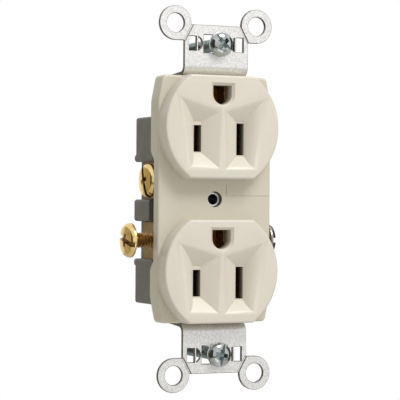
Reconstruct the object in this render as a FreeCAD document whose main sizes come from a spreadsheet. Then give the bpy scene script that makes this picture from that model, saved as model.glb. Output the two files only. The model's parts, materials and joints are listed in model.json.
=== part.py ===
# Duplex wall outlet, made of its separate pieces, in millimetres.
#
# Frame: X to the right as seen from the front, Y backwards into the wall, Z up.
# Origin: on the axis of the centre rivet, in the plane of the back face of the strap's ears.
# Both sockets stand with the ground hole above the blade slots: the short hot slots are at -X
# and the long neutral slots at +X.
import FreeCAD
import Part

import math
import os
import re

import Sketcher
from FreeCAD import Rotation, Vector

# ---------------------------------------------------------------------------------------------
# Driving dimensions. Every one is a cell of the sheet, and every formula below reads the sheet.
# ---------------------------------------------------------------------------------------------
SIZES = {
    # steel strap: a front tab at each end, bent round the ends and the back of the body
    "strap_thickness": 1.0,
    "strap_width": 19.0,
    "strap_bend": 1.6,
    "strap_lean": 1.1,
    "strap_gap": 0.2,
    "tab_reach": 47.15,
    "ear_across": 24.2,
    "ear_along": 94.8,
    "ear_radius": 4.65,
    "ear_hole_radius": 2.6,
    "ear_root": 7.0,
    "score_width": 0.5,
    "score_outset": 0.2,
    "score_depth": 0.3,
    # opening for the mounting screw, with a thin web and a D opening on each side
    "mounting_span": 83.34,
    "window_width": 7.6,
    "window_height": 4.9,
    "side_slot_height": 3.9,
    "slot_reach": 8.1,
    "web_offset": 5.4,
    "web_width": 0.55,
    "web_bulge": 1.25,
    "bulge_height": 3.7,
    # ground screw lug, bent down from the strap's upper end
    "lug_offset": 11.4,
    "lug_setback": 1.0,
    "lug_clearance": 0.3,
    "lug_drop": 11.0,
    "lug_screw_drop": 6.4,
    # front cover
    "cover_width": 33.7,
    "cover_height": 66.8,
    "cover_end_width": 30.9,
    "cover_taper": 6.9,
    "cover_corner": 1.3,
    "cover_blend": 12.0,
    "cover_rim": 0.6,
    "cover_wall": 1.6,
    "flange_rise": 0.5,
    "flange_thickness": 2.0,
    "skirt_depth": 4.4,
    "waist_depth": 2.2,
    "waist_half": 13.6,
    "waist_slope": 2.3,
    "waist_round": 1.2,
    # raised socket faces; their middles stand this far inside the cover's ends
    "face_setback": 13.95,
    "face_radius": 17.0,
    "face_flat": 14.15,
    "face_rise": 5.2,
    "face_draft": 0.25,
    "face_round": 0.6,
    # blade slots, ground holes and the funnels that lead into the slots
    "blade_spacing": 12.7,
    "blade_drop": 3.12,
    "slot_width": 2.2,
    "hot_slot_length": 7.2,
    "neutral_slot_length": 8.7,
    "slot_wall": 2.6,
    "ground_rise": 11.9,
    "ground_radius": 2.75,
    "ground_top": 2.45,
    "ground_lead": 0.7,
    "funnel_depth": 2.8,
    "funnel_margin": 0.25,
    "funnel_outer_top": 11.3,
    "funnel_inner_top": 0.75,
    "funnel_outer_low": 8.4,
    "funnel_inner_low": 1.1,
    "funnel_high_outer": 7.2,
    "funnel_high_inner": 4.2,
    "funnel_low": 11.0,
    # back body
    "body_width": 32.6,
    "body_setback": 7.9,
    "body_end_width": 21.0,
    "body_depth": 16.0,
    "body_floor": 1.2,
    "body_gap": 0.1,
    "body_round": 0.8,
    "rear_pad_half": 15.4,
    "rear_pad_rise": 1.6,
    "rear_pad_round": 0.7,
    "bay_start": 3.0,
    "bay_end": 13.3,
    "bay_web_width": 28.4,
    "centre_block_front": 6.7,
    # clearances between fixed pieces, round pieces that slip in, and round the contacts
    "fit_gap": 0.1,
    "slip_gap": 0.2,
    "room_gap": 0.3,
    # brass terminal plates
    "plate_offset": 14.7,
    "plate_thickness": 0.9,
    "plate_front": 2.7,
    "plate_setback": 2.0,
    "plate_shoulder": 6.2,
    "plate_arm_height": 7.0,
    "link_front": 3.1,
    "link_rear": 6.0,
    # contact clips for the blades
    "clip_sheet": 0.6,
    "clip_base_half": 2.6,
    "clip_gap": 1.1,
    "clip_mouth_gap": 2.6,
    "clip_mouth": 0.6,
    "clip_pinch": 3.4,
    "clip_heel_rise": 1.2,
    "hot_clip_height": 7.0,
    "neutral_clip_height": 8.2,
    # ground contacts
    "sleeve_half": 3.1,
    "sleeve_gap": 4.3,
    "sleeve_mouth_gap": 4.9,
    "sleeve_mouth": -0.8,
    "sleeve_pinch": 3.0,
    "sleeve_heel_rise": 3.0,
    "sleeve_height": 5.2,
    "sleeve_foot": 5.4,
    "sleeve_foot_width": 4.0,
    # terminal screws, two on each side, and the ground screw
    "terminal_pitch": 16.2,
    "terminal_depth": 7.5,
    "terminal_head_radius": 4.7,
    "terminal_head_height": 1.9,
    "terminal_thread_radius": 2.08,
    "terminal_length": 8.0,
    "terminal_seat": 0.1,
    "hot_eased": 0.95,
    "hot_backed_out": 6.4,
    "neutral_backed_out": 4.2,
    "ground_screw_length": 6.0,
    # mounting screws
    "mounting_head_radius": 3.35,
    "mounting_head_height": 2.4,
    "mounting_thread_radius": 1.75,
    "mounting_length": 20.0,
    "mounting_seat": 0.25,
    "mounting_drift": 1.0,
    "mounting_lift": 0.4,
    "neck_reach": 0.3,
    "neck_relief": 0.4,
    # shared by all screws; the head's shoulder and flat top are shares of its radius and height
    "thread_gap": 0.06,
    "tip_taper": 0.6,
    "head_shoulder_reach": 0.8,
    "head_shoulder_rise": 0.86,
    "head_flat_reach": 0.4,
    "drive_slot_width": 1.1,
    "drive_slot_depth": 0.9,
    "drive_cross_width": 1.2,
    "drive_cross_reach": 4.6,
    "drive_cross_depth": 1.4,
    # rivets and assembly screws
    "centre_rivet_radius": 2.1,
    "centre_bore_radius": 1.45,
    "centre_rivet_setback": 1.3,
    "centre_tail_radius": 3.2,
    "tail_height": 0.6,
    "rivet_gap": 0.05,
    "ground_rivet_radius": 1.2,
    "ground_rivet_head": 1.9,
    "ground_rivet_drop": 5.6,
    "clip_rivet_radius": 0.9,
    "clip_rivet_head": 1.5,
    "clip_rivet_head_height": 0.5,
    "boss_radius": 2.5,
    "boss_end": 10.5,
    "assembly_thread_radius": 1.4,
    "assembly_head_radius": 2.6,
    "assembly_head_height": 1.1,
    "assembly_length": 12.5,
}

# Places worked out from the driving dimensions, as formulas of the sheet.
FACES = {"upper": "(cover_height / 2 - face_setback)", "lower": "(face_setback - cover_height / 2)"}
SIDES = {"hot": "-1", "neutral": "1"}
ENDS = {"top": "1", "bottom": "-1"}
MIDDLE = "(-blade_drop)"
FACE_FRONT = "(-flange_rise - face_rise)"
FLANGE_FRONT = "(-flange_rise)"
FLANGE_BACK = "(flange_thickness - flange_rise)"
CORE_FRONT = "(flange_thickness - flange_rise + slip_gap)"
BODY_FRONT = "(skirt_depth + body_gap)"
CAVITY_FLOOR = "(body_depth - body_floor)"
STRAP_BACK = "(body_depth + strap_thickness)"
FUNNEL_FLOOR = "(funnel_depth - flange_rise - face_rise)"
SLOT_BACK = "(funnel_depth - flange_rise - face_rise + slot_wall)"
PLATE_INNER = "(plate_offset - plate_thickness)"
PLATE_REAR = "(body_depth - plate_setback)"
CORE_HALF = "(plate_offset - plate_thickness - fit_gap)"
ARM_BACK = "(body_depth - body_floor - fit_gap)"
ARM_FRONT = "(body_depth - body_floor - fit_gap - plate_thickness)"
CLIP_BASE_BACK = ARM_FRONT
LUG_SCREW_HEIGHT = "(cover_height / 2 + strap_gap - lug_screw_drop)"
LUG_DEPTH = "(skirt_depth + terminal_head_radius + lug_clearance)"
LUG_BACK = "(body_depth - strap_bend - lug_setback)"
BODY_HALF_LENGTH = "(cover_height / 2 - body_setback)"
PAD_BACK = "(body_depth + rear_pad_rise)"

# How far each screw's drive is turned about its axis, in degrees.
DRIVE_TURNS = {
    "hot_screw_upper": 20,
    "hot_screw_lower": 75,
    "neutral_screw_upper": 50,
    "neutral_screw_lower": 90,
    "ground_screw": 30,
    "mounting_screw_top": -45,
    "mounting_screw_bottom": 80,
}


def leg_inside(depth):
    """Height of the strap's leg on its side towards the body; it leans in towards the back."""
    return f"(cover_height / 2 + strap_gap - strap_lean * ({depth}) / body_depth)"


def leg_outside(depth):
    """Height of the strap's leg on its outer side."""
    return f"({leg_inside(depth)} + strap_thickness)"


def blade_line(face):
    """Height of the blade slots of one face."""
    return f"({FACES[face]} - blade_drop)"


def ground_line(face):
    """Height of the ground hole of one face."""
    return f"({FACES[face]} - blade_drop + ground_rise)"


# ---------------------------------------------------------------------------------------------
# Document, sheet and small helpers
# ---------------------------------------------------------------------------------------------
doc = FreeCAD.newDocument("DuplexOutlet")
sheet = doc.addObject("Spreadsheet::Sheet", "Sizes")
for row, (alias, size) in enumerate(SIZES.items(), start=1):
    sheet.set(f"A{row}", alias)
    sheet.set(f"B{row}", str(size))
    sheet.setAlias(f"B{row}", alias)
doc.recompute()

nodes = []


def formula(text):
    """Write the sheet's name in front of each alias of a formula."""
    return re.sub(r"[a-z]\w*", lambda word: f"Sizes.{word[0]}" if word[0] in SIZES else word[0], str(text))


def number(text):
    """The present value of a formula."""
    return float(sheet.evalExpression(formula(text)))


def bind(item, **properties):
    """Tie properties of an object to formulas; a double underscore stands for a dot."""
    for name, text in properties.items():
        item.setExpression(name.replace("__", "."), formula(text))


def bind_place(item, x="0", y="0", z="0"):
    bind(item, Placement__Base__x=x, Placement__Base__y=y, Placement__Base__z=z)


def new_body(label):
    """An empty body whose label names its piece."""
    body = doc.addObject("PartDesign::Body", label)
    body.Label = label
    nodes.append(body)
    return body


def add_box(body, name, low, high, kind="Additive"):
    """A box from one corner to the other, added to or cut from the body."""
    box = body.newObject(f"PartDesign::{kind}Box", name)
    sizes = [f"{far} - ({near})" for near, far in zip(low, high)]
    bind(box, Length=sizes[0], Width=sizes[1], Height=sizes[2])
    bind_place(box, *low)
    return box


def cut_box(body, name, low, high):
    return add_box(body, name, low, high, "Subtractive")


TURNS = {
    "+X": Rotation(Vector(0, 1, 0), 90),
    "-X": Rotation(Vector(0, 1, 0), -90),
    "+Y": Rotation(Vector(1, 0, 0), -90),
    "-Y": Rotation(Vector(1, 0, 0), 90),
}


def add_cylinder(body, name, start, way, radius, length, kind="Additive"):
    """A cylinder that starts at a point and runs one way."""
    cylinder = body.newObject(f"PartDesign::{kind}Cylinder", name)
    cylinder.Placement.Rotation = TURNS[way]
    bind(cylinder, Radius=radius, Height=length)
    bind_place(cylinder, *start)
    return cylinder


def cut_cylinder(body, name, start, way, radius, length):
    return add_cylinder(body, name, start, way, radius, length, "Subtractive")


def new_sketch(body, name, plane, offset="0"):
    """A sketch on one of the body's origin planes, moved along the plane's normal."""
    sketch = body.newObject("Sketcher::SketchObject", name)
    origin_plane = next(item for item in body.Origin.OriginFeatures if item.Role == plane)
    sketch.AttachmentSupport = [(origin_plane, "")]
    sketch.MapMode = "FlatFace"
    bind(sketch, AttachmentOffset__Base__z=offset)
    return sketch


def front_sketch(body, name, depth):
    """A sketch seen from the front, with X across and Z up, at one Y."""
    return new_sketch(body, name, "XZ_Plane", f"-({depth})")


def constrain(sketch, kind, *references, size=None):
    """Add a constraint, tied to a formula if it carries a size."""
    if size is None:
        sketch.addConstraint(Sketcher.Constraint(kind, *references))
        return
    index = sketch.addConstraint(Sketcher.Constraint(kind, *references, number(size)))
    sketch.setExpression(f"Constraints[{index}]", formula(size))


def pin_point(sketch, geometry, place, across, up):
    """Fix a point of the sketch at two distances from the sketch's origin."""
    constrain(sketch, "DistanceX", -1, 1, geometry, place, size=across)
    constrain(sketch, "DistanceY", -1, 1, geometry, place, size=up)


def polygon(sketch, corners):
    """A closed outline of straight lines through the corners."""
    points = [Vector(number(across), number(up), 0) for across, up in corners]
    first = sketch.GeometryCount
    for index, point in enumerate(points):
        sketch.addGeometry(Part.LineSegment(point, points[(index + 1) % len(points)]))
    for index, (across, up) in enumerate(corners):
        following = first + (index + 1) % len(corners)
        constrain(sketch, "Coincident", first + index, 2, following, 1)
        pin_point(sketch, first + index, 1, across, up)


def arc_through(sketch, centre, radius, start, end):
    """An arc about a fixed centre, counterclockwise between two points near its circle."""
    middle = Vector(number(centre[0]), number(centre[1]), 0)
    angles = [
        (Vector(number(across), number(up), 0) - middle).getAngle(Vector(1, 0, 0))
        * (1 if number(up) >= middle.y else -1)
        for across, up in (start, end)
    ]
    whole = Part.Circle(middle, Vector(0, 0, 1), number(radius))
    index = sketch.addGeometry(Part.ArcOfCircle(whole, angles[0], angles[1]))
    pin_point(sketch, index, 3, *centre)
    constrain(sketch, "Radius", index, size=radius)
    return index


def line_between(sketch, start, end):
    points = [Vector(number(across), number(up), 0) for across, up in (start, end)]
    return sketch.addGeometry(Part.LineSegment(*points))


def extrude(body, kind, name, sketch, length, backwards=False, symmetric=False):
    """Pad or pocket a sketch; a front sketch's own direction is forwards, to -Y."""
    feature = body.newObject(f"PartDesign::{kind}", name)
    feature.Profile = sketch
    feature.Reversed = backwards
    feature.Midplane = symmetric
    bind(feature, Length=length)
    return feature


def edges_where(shape, test):
    """Names of the edges whose middle point, direction and box pass a test."""
    names = []
    for index, edge in enumerate(shape.Edges, start=1):
        middle = edge.valueAt((edge.FirstParameter + edge.LastParameter) / 2)
        if test(edge, middle):
            names.append(f"Edge{index}")
    return names


def dress(body, kind, name, test, size):
    """Fillet or chamfer the edges of the body's present shape that pass a test."""
    doc.recompute()
    base = body.Tip
    feature = body.newObject(f"PartDesign::{kind}", name)
    feature.Base = (base, edges_where(base.Shape, test))
    bind(feature, **{"Radius" if kind == "Fillet" else "Size": size})
    doc.recompute()
    return feature


def near(first, second):
    return abs(first - second) < 1e-4


def runs_along(edge, axis):
    """Whether a straight edge is parallel to the X, Y or Z axis (0, 1 or 2)."""
    if not isinstance(edge.Curve, Part.Line):
        return False
    return abs(abs(edge.Curve.Direction[axis]) - 1) < 1e-6


# ---------------------------------------------------------------------------------------------
# Front cover: one nylon moulding with a flange, a skirt and two raised faces
# ---------------------------------------------------------------------------------------------
def cover_outline(inset):
    """Corners of the cover's outline, or of its inside when an inset is given."""
    side = f"(cover_width / 2 - {inset})"
    end = f"(cover_height / 2 - {inset})"
    end_half = f"(cover_end_width / 2 - {inset})"
    shoulder = f"(cover_height / 2 - cover_taper - {inset} / 2)"
    right = [(side, f"-{shoulder}"), (side, shoulder), (end_half, end)]
    left = [(f"-{end_half}", end), (f"-{side}", shoulder), (f"-{side}", f"-{shoulder}")]
    return right + left + [(f"-{end_half}", f"-{end}"), (end_half, f"-{end}")]


def face_outline(sketch, face, shrink):
    """Circle with a flat above and below, about the middle of one face."""
    height = FACES[face]
    radius = f"(face_radius - {shrink})"
    flat = f"(face_flat - {shrink})"
    half = f"(({radius} ^ 2 - {flat} ^ 2) ^ 0.5)"
    centre = ("0", height)
    corners = {
        "upper right": (half, f"{height} + {flat}"),
        "upper left": (f"-{half}", f"{height} + {flat}"),
        "lower left": (f"-{half}", f"{height} - {flat}"),
        "lower right": (half, f"{height} - {flat}"),
    }
    top = line_between(sketch, corners["upper right"], corners["upper left"])
    left = arc_through(sketch, centre, radius, corners["upper left"], corners["lower left"])
    bottom = line_between(sketch, corners["lower left"], corners["lower right"])
    right = arc_through(sketch, centre, radius, corners["lower right"], corners["upper right"])
    constrain(sketch, "Coincident", top, 2, left, 1)
    constrain(sketch, "Coincident", left, 2, bottom, 1)
    constrain(sketch, "Coincident", bottom, 2, right, 1)
    constrain(sketch, "Coincident", right, 2, top, 1)
    constrain(sketch, "Horizontal", top)
    constrain(sketch, "Horizontal", bottom)
    constrain(sketch, "DistanceY", -1, 1, top, 1, size=f"{height} + {flat}")
    constrain(sketch, "DistanceY", -1, 1, bottom, 1, size=f"{height} - {flat}")


def ground_hole(sketch, face):
    """Flat-topped hole with a round bottom, for the ground pin."""
    height = ground_line(face)
    top = f"({height} + ground_top)"
    left = line_between(sketch, ("-ground_radius", top), ("-ground_radius", height))
    middle = Vector(0, number(height), 0)
    whole = Part.Circle(middle, Vector(0, 0, 1), number("ground_radius"))
    bottom = sketch.addGeometry(Part.ArcOfCircle(whole, -math.pi, 0))
    right = line_between(sketch, ("ground_radius", height), ("ground_radius", top))
    across = line_between(sketch, ("ground_radius", top), ("-ground_radius", top))
    for first, second in ((left, bottom), (bottom, right), (right, across), (across, left)):
        constrain(sketch, "Coincident", first, 2, second, 1)
    pin_point(sketch, bottom, 3, "0", height)
    constrain(sketch, "Radius", bottom, size="ground_radius")
    constrain(sketch, "Vertical", left)
    constrain(sketch, "Vertical", right)
    constrain(sketch, "Horizontal", across)
    constrain(sketch, "DistanceY", -1, 1, bottom, 1, size=height)
    constrain(sketch, "DistanceY", -1, 1, bottom, 2, size=height)
    constrain(sketch, "DistanceY", -1, 1, across, 1, size=top)


def funnel_mouth(side, face):
    """The four corners of a funnel in the plane of the raised face."""
    middle = FACES[face]
    return [
        (f"{side} * funnel_outer_top", f"{middle} + funnel_high_outer"),
        (f"{side} * funnel_inner_top", f"{middle} + funnel_high_inner"),
        (f"{side} * funnel_inner_low", f"{middle} - funnel_low"),
        (f"{side} * funnel_outer_low", f"{middle} - funnel_low"),
    ]


def funnel_floor(side_name, face):
    """The four corners of a funnel's floor, round the blade slot."""
    side = SIDES[side_name]
    line = blade_line(face)
    top_half = "(neutral_slot_length / 2 + funnel_margin)"
    low_half = f"({side_name}_slot_length / 2 + funnel_margin)"
    outer = f"{side} * (blade_spacing / 2 + slot_width / 2)"
    inner = f"{side} * (blade_spacing / 2 - slot_width / 2)"
    return [
        (outer, f"{line} + {top_half}"),
        (inner, f"{line} + {top_half}"),
        (inner, f"{line} - {low_half}"),
        (outer, f"{line} - {low_half}"),
    ]


def make_front_cover():
    body = new_body("front_cover")
    slab = front_sketch(body, "CoverOutline", FLANGE_FRONT)
    polygon(slab, cover_outline("0"))
    extrude(body, "Pad", "CoverSlab", slab, "skirt_depth + flange_rise", backwards=True)
    end = number("cover_height / 2")
    shoulder = number("cover_height / 2 - cover_taper")
    dress(body, "Fillet", "CoverCorners",
          lambda edge, middle: runs_along(edge, 1) and near(abs(middle.z), end), "cover_corner")
    dress(body, "Fillet", "CoverBlends",
          lambda edge, middle: runs_along(edge, 1) and near(abs(middle.z), shoulder), "cover_blend")
    front = number(FLANGE_FRONT)
    dress(body, "Fillet", "CoverRim", lambda edge, middle: near(middle.y, front), "cover_rim")

    for face in FACES:
        base = front_sketch(body, f"FaceBase_{face}", FLANGE_BACK)
        face_outline(base, face, "0")
        front_plane = front_sketch(body, f"FaceFront_{face}", FACE_FRONT)
        face_outline(front_plane, face, "face_draft")
        loft = body.newObject("PartDesign::AdditiveLoft", f"Face_{face}")
        loft.Profile = base
        loft.Sections = [front_plane]
        loft.Ruled = True
    face_front = number(FACE_FRONT)
    dress(body, "Fillet", "FaceRims", lambda edge, middle: near(middle.y, face_front), "face_round")

    for name, along in ENDS.items():
        heights = sorted((f"({along} * cover_height / 2)", f"({along} * cover_height)"), key=number)
        cut_box(body, f"EndTrim_{name}", ("-cover_width", FACE_FRONT, heights[0]),
                ("cover_width", "skirt_depth", heights[1]))

    hollow = front_sketch(body, "CoverInside", "skirt_depth")
    polygon(hollow, cover_outline("cover_wall"))
    extrude(body, "Pocket", "CoverHollow", hollow, f"skirt_depth - {FLANGE_BACK}", backwards=True)
    notch_half = "(strap_width / 2 + strap_gap)"
    notch_floor = f"({leg_inside('skirt_depth')} - strap_gap)"
    for name, along in ENDS.items():
        heights = sorted((f"({along} * {notch_floor})", f"({along} * cover_height)"), key=number)
        cut_box(body, f"StrapNotch_{name}", (f"-{notch_half}", FLANGE_BACK, heights[0]),
                (notch_half, "skirt_depth * 2", heights[1]))

    waist = new_sketch(body, "WaistOutline", "YZ_Plane")
    low_end = f"{MIDDLE} - waist_half"
    high_end = f"{MIDDLE} + waist_half"
    beyond = "(skirt_depth + cover_wall)"
    slope = "(waist_slope * (skirt_depth + cover_wall - waist_depth) / (skirt_depth - waist_depth))"
    polygon(waist, [("waist_depth", low_end), ("waist_depth", high_end),
                    (beyond, f"{high_end} + {slope}"), (beyond, f"{low_end} - {slope}")])
    extrude(body, "Pocket", "Waist", waist, "cover_width * 2", symmetric=True)
    waist_floor = number("waist_depth")
    skirt_end = number("skirt_depth")
    ends = [number(low_end), number(high_end),
            number(f"{low_end} - waist_slope"), number(f"{high_end} + waist_slope")]
    dress(body, "Fillet", "WaistCorners",
          lambda edge, middle: runs_along(edge, 0)
          and (near(middle.y, waist_floor) or near(middle.y, skirt_end))
          and any(near(middle.z, height) for height in ends), "waist_round")

    for face in FACES:
        line = blade_line(face)
        add_cylinder(body, f"Boss_{face}", ("0", f"{FLANGE_BACK} - cover_wall / 2", line), "+Y",
                     "boss_radius", f"boss_end - {FLANGE_BACK} + cover_wall / 2")
        cut_cylinder(body, f"Pilot_{face}", ("0", "flange_rise", line), "+Y",
                     "assembly_thread_radius + rivet_gap", "boss_end")
        for side_name, side in SIDES.items():
            middle = f"({side} * blade_spacing / 2)"
            reach = "(clip_base_half + fit_gap)"
            rise = f"({side_name}_clip_height / 2 + room_gap)"
            cut_box(body, f"ClipRoom_{side_name}_{face}",
                    (f"{middle} - {reach}", SLOT_BACK, f"{line} - {rise}"),
                    (f"{middle} + {reach}", FLANGE_BACK, f"{line} + {rise}"))
        ground = ground_line(face)
        room = "(sleeve_height / 2 + room_gap)"
        cut_box(body, f"SleeveRoom_{face}",
                ("-(sleeve_half + slip_gap)", "sleeve_mouth - slip_gap", f"{ground} - {room}"),
                ("sleeve_half + slip_gap", FLANGE_BACK, f"{ground} + {room}"))

    for face in FACES:
        hole = front_sketch(body, f"GroundHole_{face}", FACE_FRONT)
        ground_hole(hole, face)
        extrude(body, "Pocket", f"GroundCut_{face}", hole, "face_rise + flange_thickness")
    widest = number("ground_radius") + 1e-3
    tallest = {face: number(ground_line(face)) for face in FACES}
    dress(body, "Chamfer", "GroundLead",
          lambda edge, middle: near(middle.y, face_front) and abs(middle.x) < widest
          and any(abs(middle.z - height) < widest for height in tallest.values()), "ground_lead")

    for face in FACES:
        line = blade_line(face)
        for side_name, side in SIDES.items():
            mouth = front_sketch(body, f"FunnelMouth_{side_name}_{face}", FACE_FRONT)
            polygon(mouth, funnel_mouth(side, face))
            floor = front_sketch(body, f"FunnelFloor_{side_name}_{face}", FUNNEL_FLOOR)
            polygon(floor, funnel_floor(side_name, face))
            funnel = body.newObject("PartDesign::SubtractiveLoft", f"Funnel_{side_name}_{face}")
            funnel.Profile = mouth
            funnel.Sections = [floor]
            funnel.Ruled = True
            middle = f"({side} * blade_spacing / 2)"
            half = f"({side_name}_slot_length / 2)"
            cut_box(body, f"Slot_{side_name}_{face}",
                    (f"{middle} - slot_width / 2", FACE_FRONT, f"{line} - {half}"),
                    (f"{middle} + slot_width / 2", FLANGE_BACK, f"{line} + {half}"))

    cut_cylinder(body, "RivetHole", ("0", FACE_FRONT, "0"), "+Y",
                 "centre_rivet_radius + rivet_gap", f"skirt_depth - {FACE_FRONT}")
    return body


# ---------------------------------------------------------------------------------------------
# Back body: grey moulding that holds the contacts, with open bays for the terminal screws
# ---------------------------------------------------------------------------------------------
def cut_both_sides(body, name, low, high):
    """Cut a box at +X and its mirror image at -X; low and high are given for +X."""
    cut_box(body, f"{name}_right", low, high)
    cut_box(body, f"{name}_left", (f"-({high[0]})", low[1], low[2]), (f"-({low[0]})", high[1], high[2]))


def make_back_body():
    body = new_body("back_body")
    half = "body_width / 2"
    end_half = "body_end_width / 2"
    low = f"{MIDDLE} - {BODY_HALF_LENGTH}"
    high = f"{MIDDLE} + {BODY_HALF_LENGTH}"
    inside_end = "(cover_height / 2 - cover_wall - slip_gap)"
    side_view = new_sketch(body, "EndProfile", "YZ_Plane")
    front_end = f"({leg_inside(BODY_FRONT)} - strap_gap)"
    rear_end = f"({leg_inside('body_depth')} - strap_gap)"
    polygon(side_view, [(BODY_FRONT, f"-{front_end}"), ("body_depth", f"-{rear_end}"),
                        ("body_depth", rear_end), (BODY_FRONT, front_end)])
    extrude(body, "Pad", "EndBlocks", side_view, "body_end_width", symmetric=True)
    heel = number("body_depth")
    dress(body, "Fillet", "Heels",
          lambda edge, middle: runs_along(edge, 0) and near(middle.y, heel), "strap_bend + body_gap")
    add_box(body, "EndCore", (f"-{end_half}", CORE_FRONT, f"-{inside_end}"),
            (end_half, "body_depth / 2", inside_end))
    add_box(body, "Core", (f"-{CORE_HALF}", CORE_FRONT, low), (CORE_HALF, "body_depth", high))
    add_box(body, "SideBlocks", (f"-{half}", BODY_FRONT, low), (half, "body_depth", high))
    pad_low = f"{MIDDLE} - rear_pad_half"
    pad_high = f"{MIDDLE} + rear_pad_half"
    add_box(body, "RearPads", (f"-{half}", "body_depth - body_floor", pad_low), (half, PAD_BACK, pad_high))

    beyond = f"({half} + body_round)"
    for name, side in (("Upper", "1"), ("Lower", "-1")):
        ends = sorted((f"{MIDDLE} + {side} * bay_start", f"{MIDDLE} + {side} * bay_end"), key=number)
        cut_both_sides(body, f"{name}Bay", (CORE_HALF, "0", ends[0]),
                       (beyond, f"{PLATE_REAR} + fit_gap", ends[1]))
        cut_both_sides(body, f"{name}BayRear", ("bay_web_width / 2", "0", ends[0]),
                       (beyond, f"{PAD_BACK} + body_round", ends[1]))
    cut_both_sides(body, "LinkRoom", (CORE_HALF, "0", f"{MIDDLE} - bay_start"),
                   (beyond, "centre_block_front", f"{MIDDLE} + bay_start"))
    outer = number(half)
    dress(body, "Fillet", "BlockRounds",
          lambda edge, middle: runs_along(edge, 1) and near(abs(middle.x), outer), "body_round")
    rear = number(PAD_BACK)
    dress(body, "Fillet", "PadRounds",
          lambda edge, middle: near(middle.y, rear), "rear_pad_round")
    channel = "(strap_width / 2 + slip_gap)"
    cut_box(body, "StrapChannel", (f"-{channel}", "body_depth", "-cover_height"),
            (channel, f"{PAD_BACK} + body_round", "cover_height"))

    for face in FACES:
        line = blade_line(face)
        beyond_bay = f"({MIDDLE} + {'1' if face == 'upper' else '-1'} * bay_end)"
        for side_name in SIDES:
            rise = f"({side_name}_clip_height / 2 + room_gap)"
            sign = "-" if side_name == "hot" else ""
            inner = "(blade_spacing / 2 - clip_base_half - room_gap)"
            outer_wall = "(plate_offset + fit_gap)"
            across = sorted((f"{sign}{inner}", f"{sign}{outer_wall}"), key=number)
            cut_box(body, f"ClipCavity_{side_name}_{face}", (across[0], "0", f"{line} - {rise}"),
                    (across[1], CAVITY_FLOOR, f"{line} + {rise}"))
            slot = sorted((f"{sign}{CORE_HALF}", f"{sign}{outer_wall}"), key=number)
            reach = sorted((beyond_bay, line), key=number)
            cut_box(body, f"PlateSlot_{side_name}_{face}", (slot[0], "0", reach[0]),
                    (slot[1], CAVITY_FLOOR, reach[1]))
        ground = ground_line(face)
        room = "(sleeve_height / 2 + room_gap)"
        cut_box(body, f"SleeveRoom_{face}", ("-(sleeve_half + slip_gap)", "0", f"{ground} - {room}"),
                ("sleeve_half + slip_gap", STRAP_BACK, f"{ground} + {room}"))
        foot_half = "(sleeve_foot_width / 2 + room_gap)"
        foot_low = f"{ground} - sleeve_height / 2 - sleeve_foot - slip_gap"
        cut_box(body, f"FootRoom_{face}",
                (f"-{foot_half}", "body_depth - clip_sheet - tail_height - slip_gap", foot_low),
                (foot_half, STRAP_BACK, ground))
        cut_cylinder(body, f"BossHole_{face}", ("0", "0", line), "+Y", "boss_radius + slip_gap",
                     "boss_end + room_gap")
        cut_cylinder(body, f"AssemblyHole_{face}", ("0", "0", line), "+Y",
                     "assembly_thread_radius + fit_gap", f"{STRAP_BACK} + body_round")

    for name, side in (("Upper", "1"), ("Lower", "-1")):
        height = f"{MIDDLE} + {side} * terminal_pitch / 2"
        bore = "terminal_thread_radius + room_gap"
        tip = "(plate_offset - terminal_length - room_gap)"
        cut_cylinder(body, f"{name}HotRoom", (f"-{tip}", "terminal_depth", height), "-X",
                     bore, "terminal_length")
        cut_cylinder(body, f"{name}NeutralRoom", (tip, "terminal_depth", height), "+X",
                     bore, "terminal_length")
    cut_cylinder(body, "CentreHole", ("0", "0", "0"), "+Y", "centre_rivet_radius + fit_gap",
                 f"{STRAP_BACK} + body_round")
    tip = "(lug_offset + strap_thickness + terminal_seat - ground_screw_length - room_gap)"
    cut_cylinder(body, "GroundScrewRoom", (tip, LUG_DEPTH, LUG_SCREW_HEIGHT), "+X",
                 "terminal_thread_radius + room_gap", "body_end_width")
    return body


# ---------------------------------------------------------------------------------------------
# Mounting strap: one steel stamping that wraps round the body, with four break-off ears
# ---------------------------------------------------------------------------------------------
def ear_outline(sketch, across, along):
    """Washer-shaped ear with a flat edge towards the tab, on the side given by two signs."""
    centre = (f"{across} * ear_across / 2", f"{along} * ear_along / 2")
    low = f"{along} * (ear_along / 2 - ear_radius)"
    root_top = (f"{across} * ear_root", f"{along} * tab_reach")
    root_low = (f"{across} * strap_width / 2", low)
    under = (centre[0], low)
    polygon(sketch, [root_top, root_low, under, centre])


def window_outlines(sketch, along):
    """The opening for one mounting screw and the D and end openings at its sides."""
    middle = f"({along} * (mounting_span / 2 + mounting_lift))"
    half = "(window_height / 2)"
    polygon(sketch, [("window_width / 2", f"{middle} - {half}"),
                     ("window_width / 2", f"{middle} + {half}"),
                     ("-window_width / 2", f"{middle} + {half}"),
                     ("-window_width / 2", f"{middle} - {half}")])
    side_half = "(side_slot_height / 2)"
    web_end = "(web_offset + web_width)"
    for side in ("1", "-1"):
        polygon(sketch, [(f"{side} * {web_end}", f"{middle} - {side_half}"),
                         (f"{side} * slot_reach", f"{middle} - {side_half}"),
                         (f"{side} * slot_reach", f"{middle} + {side_half}"),
                         (f"{side} * {web_end}", f"{middle} + {side_half}")])
        bulge_opening(sketch, side, middle)


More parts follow.
